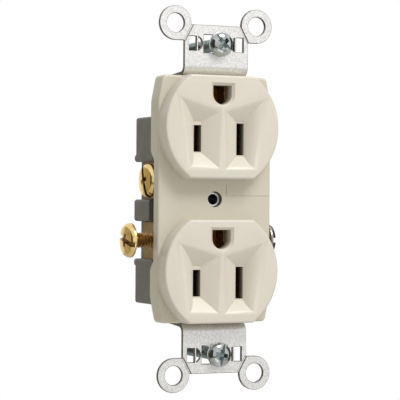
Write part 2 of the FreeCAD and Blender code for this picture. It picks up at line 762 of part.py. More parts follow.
def bulge_opening(sketch, side, middle):
    """D opening: straight along the web and round towards the screw."""
    half = "(bulge_height / 2)"
    radius = f"(({half} ^ 2 + web_bulge ^ 2) / (2 * web_bulge))"
    centre = (f"{side} * (web_offset - web_bulge + {radius})", middle)
    top = (f"{side} * web_offset", f"{middle} + {half}")
    bottom = (f"{side} * web_offset", f"{middle} - {half}")
    straight = line_between(sketch, bottom, top)
    start, end = (bottom, top) if number(side) < 0 else (top, bottom)
    hub = Vector(number(centre[0]), number(centre[1]), 0)
    spread = [Vector(number(across), number(up), 0) - hub for across, up in (start, end)]
    angles = [Vector(1, 0, 0).getAngle(way) * (1 if way.y > 0 else -1) for way in spread]
    if angles[1] < angles[0]:
        angles[1] += 2 * math.pi
    whole = Part.Circle(hub, Vector(0, 0, 1), number(radius))
    bulge = sketch.addGeometry(Part.ArcOfCircle(whole, angles[0], angles[1]))
    first, second = (1, 2) if number(side) < 0 else (2, 1)
    constrain(sketch, "Coincident", straight, 1, bulge, first)
    constrain(sketch, "Coincident", straight, 2, bulge, second)
    pin_point(sketch, straight, 1, *bottom)
    pin_point(sketch, straight, 2, *top)
    constrain(sketch, "Radius", bulge, size=radius)


def make_mounting_strap():
    body = new_body("mounting_strap")
    side_view = new_sketch(body, "StrapProfile", "YZ_Plane")
    polygon(side_view, [
        ("-strap_thickness", "tab_reach"), ("0", "tab_reach"), ("0", leg_outside("0")),
        (STRAP_BACK, leg_outside(STRAP_BACK)), (STRAP_BACK, f"-{leg_outside(STRAP_BACK)}"),
        ("0", f"-{leg_outside('0')}"), ("0", "-tab_reach"), ("-strap_thickness", "-tab_reach"),
        ("-strap_thickness", f"-{leg_inside('-strap_thickness')}"),
        ("body_depth", f"-{leg_inside('body_depth')}"), ("body_depth", leg_inside("body_depth")),
        ("-strap_thickness", leg_inside("-strap_thickness")),
    ])
    extrude(body, "Pad", "StrapBlank", side_view, "strap_width", symmetric=True)
    tab_end = number("tab_reach")
    back_inner, back_outer = number("body_depth"), number(STRAP_BACK)
    front = number("-strap_thickness")
    dress(body, "Fillet", "InnerBends",
          lambda edge, middle: runs_along(edge, 0) and not near(abs(middle.z), tab_end)
          and (near(middle.y, 0) or near(middle.y, back_inner)), "strap_bend")
    dress(body, "Fillet", "OuterBends",
          lambda edge, middle: runs_along(edge, 0) and not near(abs(middle.z), tab_end)
          and (near(middle.y, front) or near(middle.y, back_outer)), "strap_bend + strap_thickness")

    corners = front_sketch(body, "TabCorners", "-strap_thickness")
    for across in ("1", "-1"):
        for along in ("1", "-1"):
            low = f"{along} * (ear_along / 2 - ear_radius)"
            polygon(corners, [(f"{across} * ear_root", f"{along} * tab_reach"),
                              (f"{across} * strap_width / 2", low),
                              (f"{across} * strap_width", low),
                              (f"{across} * strap_width", f"{along} * (tab_reach + strap_width)"),
                              (f"{across} * ear_root", f"{along} * (tab_reach + strap_width)")])
    extrude(body, "Pocket", "TabCornerCuts", corners, "strap_thickness")
    for across_name, across in (("right", "1"), ("left", "-1")):
        for along_name, along in ENDS.items():
            name = f"{along_name}_{across_name}"
            root = front_sketch(body, f"EarRoot_{name}", "-strap_thickness")
            ear_outline(root, across, along)
            extrude(body, "Pad", f"EarRootPad_{name}", root, "strap_thickness", backwards=True)
            centre = (f"{across} * ear_across / 2", "-strap_thickness", f"{along} * ear_along / 2")
            add_cylinder(body, f"Ear_{name}", centre, "+Y", "ear_radius", "strap_thickness")
            cut_cylinder(body, f"EarHole_{name}", centre, "+Y", "ear_hole_radius", "strap_thickness")

    scores = front_sketch(body, "ScoreLines", "-strap_thickness")
    for across in ("1", "-1"):
        for along in ("1", "-1"):
            low = f"{along} * (ear_along / 2 - ear_radius)"
            top = f"{along} * (tab_reach + score_outset)"
            outer, inner = "score_outset", "(score_outset - score_width)"
            polygon(scores, [(f"{across} * (ear_root + {outer})", top),
                             (f"{across} * (strap_width / 2 + {outer})", low),
                             (f"{across} * (strap_width / 2 + {inner})", low),
                             (f"{across} * (ear_root + {inner})", top)])
    extrude(body, "Pocket", "ScoreCuts", scores, "score_depth")

    for name, along in ENDS.items():
        windows = front_sketch(body, f"Windows_{name}", "-strap_thickness")
        window_outlines(windows, along)
        extrude(body, "Pocket", f"WindowCuts_{name}", windows, "strap_thickness")

    lug_low = f"(2 * {LUG_DEPTH} - {LUG_BACK})"
    lug_outer = "(lug_offset + strap_thickness)"
    bridge = new_sketch(body, "LugBridgeProfile", "YZ_Plane")
    polygon(bridge, [(lug_low, leg_inside(lug_low)), (LUG_BACK, leg_inside(LUG_BACK)),
                     (LUG_BACK, leg_outside(LUG_BACK)), (lug_low, leg_outside(lug_low))])
    extrude(body, "Pad", "LugBridge", bridge, lug_outer)
    add_box(body, "Lug", ("lug_offset", lug_low, f"{leg_inside('0')} - lug_drop"),
            (lug_outer, LUG_BACK, leg_outside(LUG_BACK)))
    lug_face = number(lug_outer)
    lug_top = number(leg_inside("0"))
    dress(body, "Fillet", "LugBend",
          lambda edge, middle: near(middle.x, lug_face) and near(edge.Vertexes[0].X, edge.Vertexes[-1].X)
          and abs(edge.tangentAt(edge.FirstParameter).y) > 0.9 and middle.z > lug_top, "strap_thickness")
    cut_cylinder(body, "LugHole", ("lug_offset", LUG_DEPTH, LUG_SCREW_HEIGHT), "+X",
                 "terminal_thread_radius + thread_gap", "strap_thickness")

    cut_cylinder(body, "CentreHole", ("0", "body_depth", "0"), "+Y", "centre_rivet_radius + rivet_gap",
                 "strap_thickness")
    for face in FACES:
        cut_cylinder(body, f"AssemblyHole_{face}", ("0", "body_depth", blade_line(face)), "+Y",
                     "assembly_thread_radius + fit_gap", "strap_thickness")
        cut_cylinder(body, f"GroundRivetHole_{face}",
                     ("0", "body_depth", f"{ground_line(face)} - ground_rivet_drop"), "+Y",
                     "ground_rivet_radius + rivet_gap", "strap_thickness")
    return body


# ---------------------------------------------------------------------------------------------
# Brass terminal plates and spring contacts
# ---------------------------------------------------------------------------------------------
def mirrored(side, low, high):
    """The x limits of a box given for +X, placed on the side of the sign."""
    if number(side) > 0:
        return low, high
    return f"-({high})", f"-({low})"


def make_terminal_plate(side_name):
    """Side plate with two tapped holes, a break-off link and an arm behind each clip."""
    side = SIDES[side_name]
    body = new_body(f"{side_name}_terminal_plate")
    near_x, far_x = mirrored(side, PLATE_INNER, "plate_offset")
    arm_near, arm_far = mirrored(side, "blade_spacing / 2 - clip_base_half + clip_sheet", "plate_offset")
    add_box(body, "Link", (near_x, "link_front", f"{MIDDLE} - bay_start - plate_thickness"),
            (far_x, "link_rear", f"{MIDDLE} + bay_start + plate_thickness"))
    for face, way in (("upper", "1"), ("lower", "-1")):
        line = blade_line(face)
        seat = sorted((f"({MIDDLE} + {way} * (bay_start + slip_gap))",
                       f"({MIDDLE} + {way} * (bay_end - slip_gap))"), key=number)
        add_box(body, f"Seat_{face}", (near_x, "plate_front", seat[0]), (far_x, PLATE_REAR, seat[1]))
        far_end = f"({line} + {way} * plate_arm_height / 2)"
        joint = sorted((f"({MIDDLE} + {way} * (bay_end - plate_thickness))", far_end), key=number)
        add_box(body, f"Joint_{face}", (near_x, "plate_shoulder", joint[0]), (far_x, PLATE_REAR, joint[1]))
        reach = sorted((f"({MIDDLE} + {way} * (bay_end + slip_gap))", far_end), key=number)
        add_box(body, f"Shoulder_{face}", (near_x, "plate_shoulder", reach[0]), (far_x, ARM_BACK, reach[1]))
        add_box(body, f"Arm_{face}", (arm_near, ARM_FRONT, f"{line} - plate_arm_height / 2"),
                (arm_far, ARM_BACK, f"{line} + plate_arm_height / 2"))
        height = f"{MIDDLE} + {way} * terminal_pitch / 2"
        cut_cylinder(body, f"TappedHole_{face}", (near_x, "terminal_depth", height), "+X",
                     "terminal_thread_radius + thread_gap", "plate_thickness")
        cut_cylinder(body, f"RivetHole_{face}", (f"{side} * blade_spacing / 2", ARM_FRONT, line), "+Y",
                     "clip_rivet_radius + rivet_gap", "plate_thickness")
    return body


def hairpin(sketch, middle, base_half, mouth_gap, gap, mouth, pinch, heel, back):
    """Top view of a sprung U of sheet metal that opens to the front."""
    half = [
        (base_half, back),
        (base_half, heel),
        (f"({gap} / 2 + clip_sheet)", pinch),
        (f"({mouth_gap} / 2 + clip_sheet)", mouth),
        (f"({mouth_gap} / 2)", mouth),
        (f"({gap} / 2)", pinch),
        (f"({base_half} - clip_sheet)", heel),
        (f"({base_half} - clip_sheet)", f"({back} - clip_sheet)"),
    ]
    right = [(f"{middle} + {across}", along) for across, along in half]
    left = [(f"{middle} - {across}", along) for across, along in reversed(half)]
    polygon(sketch, right + left)


def make_clip(side_name, face):
    """Double-wipe contact for one blade."""
    side = SIDES[side_name]
    line = blade_line(face)
    body = new_body(f"{side_name}_contact_{face}")
    view = new_sketch(body, "ClipProfile", "XY_Plane", line)
    hairpin(view, f"{side} * blade_spacing / 2", "clip_base_half", "clip_mouth_gap", "clip_gap",
            "clip_mouth", "clip_pinch", f"({CLIP_BASE_BACK} - clip_heel_rise)", CLIP_BASE_BACK)
    extrude(body, "Pad", "ClipStrip", view, f"{side_name}_clip_height", symmetric=True)
    cut_cylinder(body, "RivetHole", (f"{side} * blade_spacing / 2", f"{CLIP_BASE_BACK} - clip_sheet", line),
                 "+Y", "clip_rivet_radius + rivet_gap", "clip_sheet")
    return body


def make_sleeve(face):
    """Ground contact: sprung sleeve with a foot that is riveted to the strap."""
    line = ground_line(face)
    body = new_body(f"ground_contact_{face}")
    view = new_sketch(body, "SleeveProfile", "XY_Plane", line)
    hairpin(view, "0", "sleeve_half", "sleeve_mouth_gap", "sleeve_gap", "sleeve_mouth", "sleeve_pinch",
            "(body_depth - sleeve_heel_rise)", "body_depth")
    extrude(body, "Pad", "SleeveStrip", view, "sleeve_height", symmetric=True)
    add_box(body, "Foot", ("-sleeve_foot_width / 2", "body_depth - clip_sheet",
                           f"{line} - sleeve_height / 2 - sleeve_foot"),
            ("sleeve_foot_width / 2", "body_depth", line))
    cut_cylinder(body, "RivetHole", ("0", "body_depth - clip_sheet", f"{line} - ground_rivet_drop"), "+Y",
                 "ground_rivet_radius + rivet_gap", "clip_sheet")
    return body


# ---------------------------------------------------------------------------------------------
# Screws: turned about their own Z axis, with the head above Z = 0
# ---------------------------------------------------------------------------------------------
def shank_outline(thread_radius, length, neck_length):
    """Half of a shank's outline, from the tip up to the head, with a plain neck where one is asked for."""
    outline = [("0", f"-{length}"), (f"{thread_radius} - tip_taper", f"-{length}"),
               (thread_radius, f"tip_taper - {length}")]
    if neck_length is None:
        return outline + [(thread_radius, "0")]
    relieved = f"({thread_radius} - neck_relief)"
    return outline + [(thread_radius, f"-{neck_length}"), (relieved, f"-{neck_length}"), (relieved, "0")]


def make_screw(label, way, place, head_radius, head_height, thread_radius, length, neck_length=None):
    """Pan head screw with a cross and a straight slot; the head points the given way."""
    body = new_body(label)
    profile = new_sketch(body, "ScrewProfile", "XZ_Plane")
    polygon(profile, shank_outline(thread_radius, length, neck_length) + [
        (head_radius, "0"), (head_radius, f"{head_height} / 2"),
        (f"{head_radius} * head_shoulder_reach", f"{head_height} * head_shoulder_rise"),
        (f"{head_radius} * head_flat_reach", head_height), ("0", head_height),
    ])
    turned = body.newObject("PartDesign::Revolution", "Turned")
    turned.Profile = profile
    turned.ReferenceAxis = (profile, ["V_Axis"])
    turned.Angle = 360
    slot_half = "(drive_slot_width / 2)"
    cut_box(body, "Slot", (f"-{head_radius} * 2", f"-{slot_half}", f"{head_height} - drive_slot_depth"),
            (f"{head_radius} * 2", slot_half, f"{head_height} * 2"))
    cross_half = "(drive_cross_width / 2)"
    reach = "(drive_cross_reach / 2)"
    deep = f"{head_height} - drive_cross_depth"
    cut_box(body, "CrossBar", (f"-{cross_half}", f"-{reach}", deep),
            (cross_half, reach, f"{head_height} * 2"))
    cut_box(body, "CrossStem", (f"-{reach}", f"-{cross_half}", deep),
            (reach, cross_half, f"{head_height} * 2"))
    body.Placement.Rotation = TURNS[way] * Rotation(Vector(0, 0, 1), DRIVE_TURNS[label])
    bind_place(body, *place)
    return body


def make_terminal_screw(side_name, face, backed_out):
    side = SIDES[side_name]
    way = "1" if face == "upper" else "-1"
    across = f"{side} * (plate_offset + terminal_seat + {backed_out})"
    place = (across, "terminal_depth", f"{MIDDLE} + {way} * terminal_pitch / 2")
    return make_screw(f"{side_name}_screw_{face}", "-X" if side_name == "hot" else "+X", place,
                      "terminal_head_radius", "terminal_head_height", "terminal_thread_radius",
                      "terminal_length")


# ---------------------------------------------------------------------------------------------
# Rivets and assembly screws: cylinders fused, then identical ones grouped under one label
# ---------------------------------------------------------------------------------------------
def plain_cylinder(name, start, radius, length):
    """A cylinder that runs backwards, to +Y."""
    cylinder = doc.addObject("Part::Cylinder", name)
    cylinder.Placement.Rotation = TURNS["+Y"]
    bind(cylinder, Radius=radius, Height=length)
    bind_place(cylinder, *start)
    return cylinder


def stepped_pin(name, x, z, steps):
    """Coaxial cylinders fused into one pin; each step is (start, end, radius) along Y."""
    pieces = [
        plain_cylinder(f"{name}_step_{index}", (x, start, z), radius, f"{end} - ({start})")
        for index, (start, end, radius) in enumerate(steps)
    ]
    pin = doc.addObject("Part::MultiFuse", name)
    pin.Shapes = pieces
    return pin


def group_nodes(label, members):
    """One node that holds several identical solids."""
    group = doc.addObject("Part::Compound", label)
    group.Label = label
    group.Links = members
    nodes.append(group)
    return group


def make_centre_rivet():
    """Tapped tube rivet for the wall plate's screw, with its tail set over the strap."""
    front = f"({FLANGE_FRONT} + centre_rivet_setback)"
    tail = f"({STRAP_BACK} + tail_height)"
    outside = stepped_pin("CentreRivetBlank", "0", "0", [
        (front, tail, "centre_rivet_radius"),
        (STRAP_BACK, tail, "centre_tail_radius"),
    ])
    bore = plain_cylinder("CentreRivetBore", ("0", front, "0"), "centre_bore_radius", f"{tail} - ({front})")
    rivet = doc.addObject("Part::Cut", "centre_rivet")
    rivet.Label = "centre_rivet"
    rivet.Base = outside
    rivet.Tool = bore
    nodes.append(rivet)
    return rivet


def make_ground_rivets():
    head_front = "(body_depth - clip_sheet - tail_height)"
    foot_front = "(body_depth - clip_sheet)"
    tail = f"({STRAP_BACK} + tail_height)"
    members = [
        stepped_pin(f"GroundRivet_{face}", "0", f"{ground_line(face)} - ground_rivet_drop", [
            (head_front, foot_front, "ground_rivet_head"),
            (head_front, tail, "ground_rivet_radius"),
            (STRAP_BACK, tail, "ground_rivet_head"),
        ])
        for face in FACES
    ]
    return group_nodes("ground_rivets", members)


def make_clip_rivets(side_name):
    side = SIDES[side_name]
    base_front = f"({CLIP_BASE_BACK} - clip_sheet)"
    head_front = f"({base_front} - clip_rivet_head_height)"
    members = [
        stepped_pin(f"ClipRivet_{side_name}_{face}", f"{side} * blade_spacing / 2", blade_line(face), [
            (head_front, base_front, "clip_rivet_head"),
            (head_front, ARM_BACK, "clip_rivet_radius"),
        ])
        for face in FACES
    ]
    return group_nodes(f"{side_name}_contact_rivets", members)


def make_assembly_screws():
    tail = f"({STRAP_BACK} + assembly_head_height)"
    members = [
        stepped_pin(f"AssemblyScrew_{face}", "0", blade_line(face), [
            (f"({STRAP_BACK} - assembly_length)", tail, "assembly_thread_radius"),
            (STRAP_BACK, tail, "assembly_head_radius"),
        ])
        for face in FACES
    ]
    return group_nodes("assembly_screws", members)


# ---------------------------------------------------------------------------------------------
# The outlet
# ---------------------------------------------------------------------------------------------
make_front_cover()
make_back_body()
make_mounting_strap()
make_centre_rivet()
make_assembly_screws()
for plate_side in SIDES:
    make_terminal_plate(plate_side)
    for socket_face in FACES:
        make_clip(plate_side, socket_face)
    make_clip_rivets(plate_side)
for socket_face in FACES:
    make_sleeve(socket_face)
make_ground_rivets()

make_terminal_screw("hot", "upper", "hot_eased")
make_terminal_screw("hot", "lower", "hot_backed_out")
make_terminal_screw("neutral", "upper", "0")
make_terminal_screw("neutral", "lower", "neutral_backed_out")
make_screw("ground_screw", "+X",
           ("lug_offset + strap_thickness + terminal_seat", LUG_DEPTH, LUG_SCREW_HEIGHT),
           "terminal_head_radius", "terminal_head_height", "terminal_thread_radius", "ground_screw_length")
for end_name, end_sign in ENDS.items():
    make_screw(f"mounting_screw_{end_name}", "-Y",
               ("mounting_drift", "-(strap_thickness + mounting_seat)",
                f"{end_sign} * (mounting_span / 2 + mounting_lift)"),
               "mounting_head_radius", "mounting_head_height", "mounting_thread_radius", "mounting_length",
               "(strap_thickness + mounting_seat + neck_reach)")

doc.recompute()

failed = [item.Name for item in doc.Objects if {"Invalid", "Error"} & set(item.State)]
if failed:
    raise RuntimeError(f"objects that did not recompute: {failed}")
for node in nodes:
    if node.Shape.isNull() or not node.Shape.isValid() or not node.Shape.Solids:
        raise RuntimeError(f"{node.Label} has no valid solid")

os.makedirs("parts", exist_ok=True)
for node in nodes:
    node.Shape.exportStep(f"parts/{node.Label}.step")
    box = node.Shape.BoundBox
    print(f"{node.Label:26s} {len(node.Shape.Solids)} solids {node.Shape.Volume:10.2f} mm3 "
          f"x {box.XMin:7.2f} {box.XMax:7.2f}  y {box.YMin:7.2f} {box.YMax:7.2f}  "
          f"z {box.ZMin:7.2f} {box.ZMax:7.2f}")
print(len(nodes), "nodes")
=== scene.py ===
# %% [markdown]
# # A duplex wall outlet
#
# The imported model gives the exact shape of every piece. This lesson dresses it: each piece gets
# the finish of its real material, and the pieces whose looks need more than the solids carry, such
# as threaded screws, are modelled here and take the place of their plain solid.

import json
import math

import bpy
from mathutils import Euler, Matrix, Vector


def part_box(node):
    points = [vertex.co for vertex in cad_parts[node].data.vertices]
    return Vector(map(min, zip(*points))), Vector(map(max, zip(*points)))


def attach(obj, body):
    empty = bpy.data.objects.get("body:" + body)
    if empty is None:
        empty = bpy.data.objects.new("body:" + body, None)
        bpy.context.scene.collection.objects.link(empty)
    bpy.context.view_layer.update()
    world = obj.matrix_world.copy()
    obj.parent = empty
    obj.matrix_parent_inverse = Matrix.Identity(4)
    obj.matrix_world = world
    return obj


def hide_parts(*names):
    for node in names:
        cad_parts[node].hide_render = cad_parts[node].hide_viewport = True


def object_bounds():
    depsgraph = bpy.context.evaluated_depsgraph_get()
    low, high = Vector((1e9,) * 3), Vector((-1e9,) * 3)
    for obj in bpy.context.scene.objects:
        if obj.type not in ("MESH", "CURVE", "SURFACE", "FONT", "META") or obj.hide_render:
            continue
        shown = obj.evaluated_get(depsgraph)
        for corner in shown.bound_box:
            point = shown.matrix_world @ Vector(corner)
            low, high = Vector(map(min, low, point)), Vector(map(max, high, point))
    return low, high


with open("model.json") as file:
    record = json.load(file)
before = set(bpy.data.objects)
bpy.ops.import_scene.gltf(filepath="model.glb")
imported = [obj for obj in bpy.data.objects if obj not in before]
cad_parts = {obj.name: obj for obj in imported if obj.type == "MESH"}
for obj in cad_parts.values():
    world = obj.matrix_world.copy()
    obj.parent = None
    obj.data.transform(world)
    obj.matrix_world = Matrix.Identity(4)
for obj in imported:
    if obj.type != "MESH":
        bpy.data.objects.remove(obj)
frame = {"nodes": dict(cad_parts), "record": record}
nodes = frame["nodes"]
cad_low, cad_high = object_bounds()
MM = 0.001
cad_size = [round((high - low) / MM, 2) for low, high in zip(cad_low, cad_high)]
print(len(nodes), "nodes,", cad_size, "mm")

# %% [markdown]
# ## The camera
#
# The outlet is seen from its left, at the height of its middle, by a long lens from half a metre.
# A long lens keeps the two sockets nearly the same size. The camera is turned a trace about its
# own axis.

# %% The camera
CAMERA_DISTANCE = 485.644 * MM
CAMERA_TARGET = Vector((-4.177, 0, -0.212)) * MM
AZIMUTH, ELEVATION, ROLL = -24.578, -0.188, 0.375
SENSOR = 36.0
LENS = 161.52

camera_data = bpy.data.cameras.new("outlet_camera")
camera_data.sensor_width = SENSOR
camera_data.lens = LENS
camera_data.clip_start = 0.01
camera = bpy.data.objects.new("outlet_camera", camera_data)
bpy.context.scene.collection.objects.link(camera)
camera.rotation_euler = Euler((math.radians(90 - ELEVATION), 0, math.radians(AZIMUTH)))
away = camera.rotation_euler.to_matrix() @ Vector((0, 0, 1))
camera.rotation_euler.rotate(Matrix.Rotation(math.radians(ROLL), 3, away))
camera.location = CAMERA_TARGET + away * CAMERA_DISTANCE
bpy.context.scene.camera = camera
print("camera at", [round(value / MM, 1) for value in camera.location])

# %% [markdown]
# ## The studio
#
# A product is lit softly on a pale ground. A plain level of light comes from all round. One large
# soft lamp above the front makes the tops of the mouldings lighter than their undersides, and a
# weak one below the front opens those a little.

# %% Helpers for the studio
def node_tree(owner):
    """An empty node tree and its output."""
    owner.use_nodes = True
    tree = owner.node_tree
    tree.nodes.clear()
    is_world = isinstance(owner, bpy.types.World)
    kind = "ShaderNodeOutputWorld" if is_world else "ShaderNodeOutputMaterial"
    return tree, tree.nodes.new(kind)


def soft_lamp(name, place, size, power):
    """A square area lamp that faces the outlet."""
    data = bpy.data.lights.new(name, "AREA")
    data.size = size
    data.energy = power
    lamp = bpy.data.objects.new(name, data)
    bpy.context.scene.collection.objects.link(lamp)
    lamp.location = place
    lamp.rotation_euler = Vector(place).to_track_quat("Z", "Y").to_euler()


# %% [markdown]
# The light path tells the world which kind of ray has reached it. Rays of the camera, of mirrors
# and of glass meet plain white, and all others the plain level of the room. Stronger light would
# whiten the ground too, but it would also bleach the almond cover.

# %% The room and the lamps
AMBIENT = 0.51
WHITE, ROOM_TONE = (1, 1, 1, 1), (1.0, 0.99, 0.93, 1)
WHITE_RAYS = ("Is Camera Ray", "Is Glossy Ray", "Is Transmission Ray")
# Each lamp: place, length of its side and power, in metres and watts.
LAMPS = {
    "key_above_front": ((0.21, -0.58, 0.69), 0.4, 5.4),
    "fill_below_front": ((0.05, -0.62, -0.46), 0.5, 0.6),
}

bpy.context.scene.view_settings.view_transform = "Standard"
world = bpy.data.worlds.new("studio")
bpy.context.scene.world = world
tree, output = node_tree(world)
shown = tree.nodes.new("ShaderNodeBackground")
shown.inputs["Color"].default_value = WHITE
lit = tree.nodes.new("ShaderNodeBackground")
lit.inputs["Color"].default_value = ROOM_TONE
lit.inputs["Strength"].default_value = AMBIENT
rays = tree.nodes.new("ShaderNodeLightPath")
meets_white = rays.outputs[WHITE_RAYS[0]]
for ray in WHITE_RAYS[1:]:
    larger = tree.nodes.new("ShaderNodeMath")
    larger.operation = "MAXIMUM"
    tree.links.new(meets_white, larger.inputs[0])
    tree.links.new(rays.outputs[ray], larger.inputs[1])
    meets_white = larger.outputs[0]
choice = tree.nodes.new("ShaderNodeMixShader")
tree.links.new(meets_white, choice.inputs["Fac"])
tree.links.new(lit.outputs[0], choice.inputs[1])
tree.links.new(shown.outputs[0], choice.inputs[2])
tree.links.new(choice.outputs[0], output.inputs["Surface"])
for name, (place, size, power) in LAMPS.items():
    soft_lamp(name, place, size, power)
print("lamps:", list(LAMPS))

# %% [markdown]
# A polished metal head shows its form only where it has something dark to mirror. So dark cards
# stand beside the set, and a sheet of brown kraft board behind them warms the brass. The cards are
# seen by reflections alone: they shade nothing and the camera looks past them.

# %% The dark cards
BLACK, UMBER, KRAFT = (0.06, 0.06, 0.055), (0.12, 0.11, 0.085), (0.44, 0.38, 0.23)
UPRIGHT_TURN = (0, math.pi / 2, 0)
LEANING_TURN = (math.radians(67), 0, math.radians(-22.5))
# Each card: colour, middle, width, height, turn.
CARDS = {
    "left_card": (BLACK, (-0.9, -0.45, -0.5), 1.5, 2.4, UPRIGHT_TURN),
    "left_kraft_card": (KRAFT, (-0.9, 1.40, -0.35), 2.2, 1.5, UPRIGHT_TURN),
    "right_card": (BLACK, (0.9, 0.35, -0.2), 1.7, 1.5, UPRIGHT_TURN),
    "low_card": (UMBER, (-0.52, -1.25, -0.58), 0.6, 0.6, LEANING_TURN),
}
for name, (colour, place, width, height, turn) in CARDS.items():
    card_finish = bpy.data.materials.new(name + "_paint")
    tree, output = node_tree(card_finish)
    card_shade = tree.nodes.new("ShaderNodeEmission")
    card_shade.inputs["Color"].default_value = (*colour, 1)
    tree.links.new(card_shade.outputs[0], output.inputs["Surface"])
    bpy.ops.mesh.primitive_plane_add(size=1, location=place, rotation=turn)
    card = bpy.context.object
    card.name = name
    card.scale = (height, width, 1)
    card.data.materials.append(card_finish)
    card.visible_camera = card.visible_transmission = False
    card.visible_diffuse = card.visible_shadow = False
print("cards:", list(CARDS))

# %% [markdown]
# ## Finishes
#
# Each finish is a small node tree on the piece's own Object coordinates, so it sticks to the
# surface and has its real scale. Noise can be stretched between two numbers for the roughness,
# between two tones for the colour, and read as height for the grain.

# %% Building blocks for the finishes
def new_finish(name, metallic=0.0):
    """A material with one Principled shader; returns the material, its tree and the shader."""
    finish = bpy.data.materials.new(name)
    tree, output = node_tree(finish)
    shader = tree.nodes.new("ShaderNodeBsdfPrincipled")
    shader.inputs["Metallic"].default_value = metallic
    tree.links.new(shader.outputs[0], output.inputs["Surface"])
    return finish, tree, shader


def noise(tree, size_mm, detail=3.0, stretch=(1, 1, 1)):
    """Noise whose features are about this large, in the piece's Object coordinates."""
    place = tree.nodes.new("ShaderNodeTexCoord")
    mapping = tree.nodes.new("ShaderNodeMapping")
    mapping.inputs["Scale"].default_value = [value / (size_mm * MM) for value in stretch]
    texture = tree.nodes.new("ShaderNodeTexNoise")
    texture.inputs["Scale"].default_value = 1.0
    texture.inputs["Detail"].default_value = detail
    tree.links.new(place.outputs["Object"], mapping.inputs["Vector"])
    tree.links.new(mapping.outputs[0], texture.inputs["Vector"])
    return texture.outputs["Fac"]


def spread(tree, source, low, high, start=0.3, end=0.7):
    """The source's middle band stretched between two numbers."""
    ranger = tree.nodes.new("ShaderNodeMapRange")
    limits = {"From Min": start, "From Max": end, "To Min": low, "To Max": high}
    for socket, value in limits.items():
        ranger.inputs[socket].default_value = value
    tree.links.new(source, ranger.inputs["Value"])
    return ranger.outputs["Result"]


def two_tones(tree, source, first, second, start=0.35, end=0.65):
    """Colour that runs from one tone to the other as the source rises."""
    ramp = tree.nodes.new("ShaderNodeValToRGB")
    ramp.color_ramp.elements[0].position = start
    ramp.color_ramp.elements[0].color = (*first, 1)
    ramp.color_ramp.elements[1].position = end
    ramp.color_ramp.elements[1].color = (*second, 1)
    tree.links.new(source, ramp.inputs["Fac"])
    return ramp.outputs["Color"]


def grain(tree, shader, source, depth_mm):
    """Bump of a given depth from the source."""
    bump = tree.nodes.new("ShaderNodeBump")
    bump.inputs["Strength"].default_value = 1.0
    bump.inputs["Distance"].default_value = depth_mm * MM
    tree.links.new(source, bump.inputs["Height"])
    tree.links.new(bump.outputs[0], shader.inputs["Normal"])


# %% [markdown]
# The cover is nylon and a little clear. At its front it shows its own almond, and further back
# its colour is painted darker and yellower: painted shade for the flange and recesses that the
# raised faces keep from the light. So its colour runs along Y, made uneven by broad flow
# patches. The walls of its slots and holes get little light, and their finish is painted much
# darker with depth, as painted shade. The body's plastic is a plain grey with faint patches.
# Both keep the mould's grain.

# %% Moulded plastics
PLASTIC_SWING = 0.05
DEPTH_PATCHES = 0.12
NYLON_PATCH_MM, NYLON_GRAIN_MM, NYLON_BUMP_MM = 9.0, 0.25, 0.003


def depth_behind(tree, patches, front_mm, back_mm):
    """A value that rises from 0 to 1 between two places along Y, made uneven by the patches."""
    place = tree.nodes.new("ShaderNodeTexCoord")
    parts = tree.nodes.new("ShaderNodeSeparateXYZ")
    total = tree.nodes.new("ShaderNodeMath")
    tree.links.new(place.outputs["Object"], parts.inputs[0])
    depth = spread(tree, parts.outputs["Y"], 0.0, 1.0, front_mm * MM, back_mm * MM)
    tree.links.new(depth, total.inputs[0])
    tree.links.new(spread(tree, patches, 0.0, DEPTH_PATCHES), total.inputs[1])
    return total.outputs[0]


def add_grain(tree, shader, rough, grain_mm, depth_mm):
    """The fine grain of the mould in roughness and bump."""
    fine = noise(tree, grain_mm, detail=2.0)
    roughness = spread(tree, fine, rough - PLASTIC_SWING, rough + PLASTIC_SWING)
    tree.links.new(roughness, shader.inputs["Roughness"])
    grain(tree, shader, fine, depth_mm)


def nylon(name, light, dark, rough, front_mm, back_mm):
    """Nylon whose colour is painted darker further back along Y, as painted shade."""
    finish, tree, shader = new_finish(name)
    depth = depth_behind(tree, noise(tree, NYLON_PATCH_MM), front_mm, back_mm)
    tree.links.new(two_tones(tree, depth, light, dark, 0.0, 1.0), shader.inputs["Base Color"])
    add_grain(tree, shader, rough, NYLON_GRAIN_MM, NYLON_BUMP_MM)
    return finish


def moulded(name, light, dark, rough, patch_mm, grain_mm, depth_mm):
    """Plastic with faint flow patches and a fine grain."""
    finish, tree, shader = new_finish(name)
    patches = noise(tree, patch_mm)
    tree.links.new(two_tones(tree, patches, dark, light), shader.inputs["Base Color"])
    add_grain(tree, shader, rough, grain_mm, depth_mm)
    return finish


# The almond's darker back tone is painted shade on the parts that lie further back.
almond = nylon("almond_nylon", (0.745, 0.688, 0.600), (0.645, 0.600, 0.494), 0.30,
               front_mm=-3.3, back_mm=-0.8)
# Slot and hole walls fade to near black with depth: painted shade.
painted_wall_shade = nylon("almond_wall_painted_shade", (0.74, 0.68, 0.58), (0.12, 0.105, 0.075), 0.42,
                  front_mm=-3.9, back_mm=-0.8)
grey = moulded("grey_moulding", (0.172, 0.165, 0.148), (0.145, 0.139, 0.124), 0.50,
               patch_mm=4.0, grain_mm=0.3, depth_mm=0.010)
print(almond.name, painted_wall_shade.name, grey.name)

# %% [markdown]
# Plating and tarnish are never one even tone, and rolls and handling leave fine marks in the
# roughness. The zinc of the strap is dull enough to count as part metal. A screw's head is
# polished, while its recess and its thread are rougher, as the punch and the rolls left them, and
# painted darker as shade, so those metals come in two finishes. So does sheet: its sheared edge is
# partly bare steel and partly painted shade, dark along its outline.

# %% Metals
METAL_SWING = 0.08
MARKS_MM = 0.35


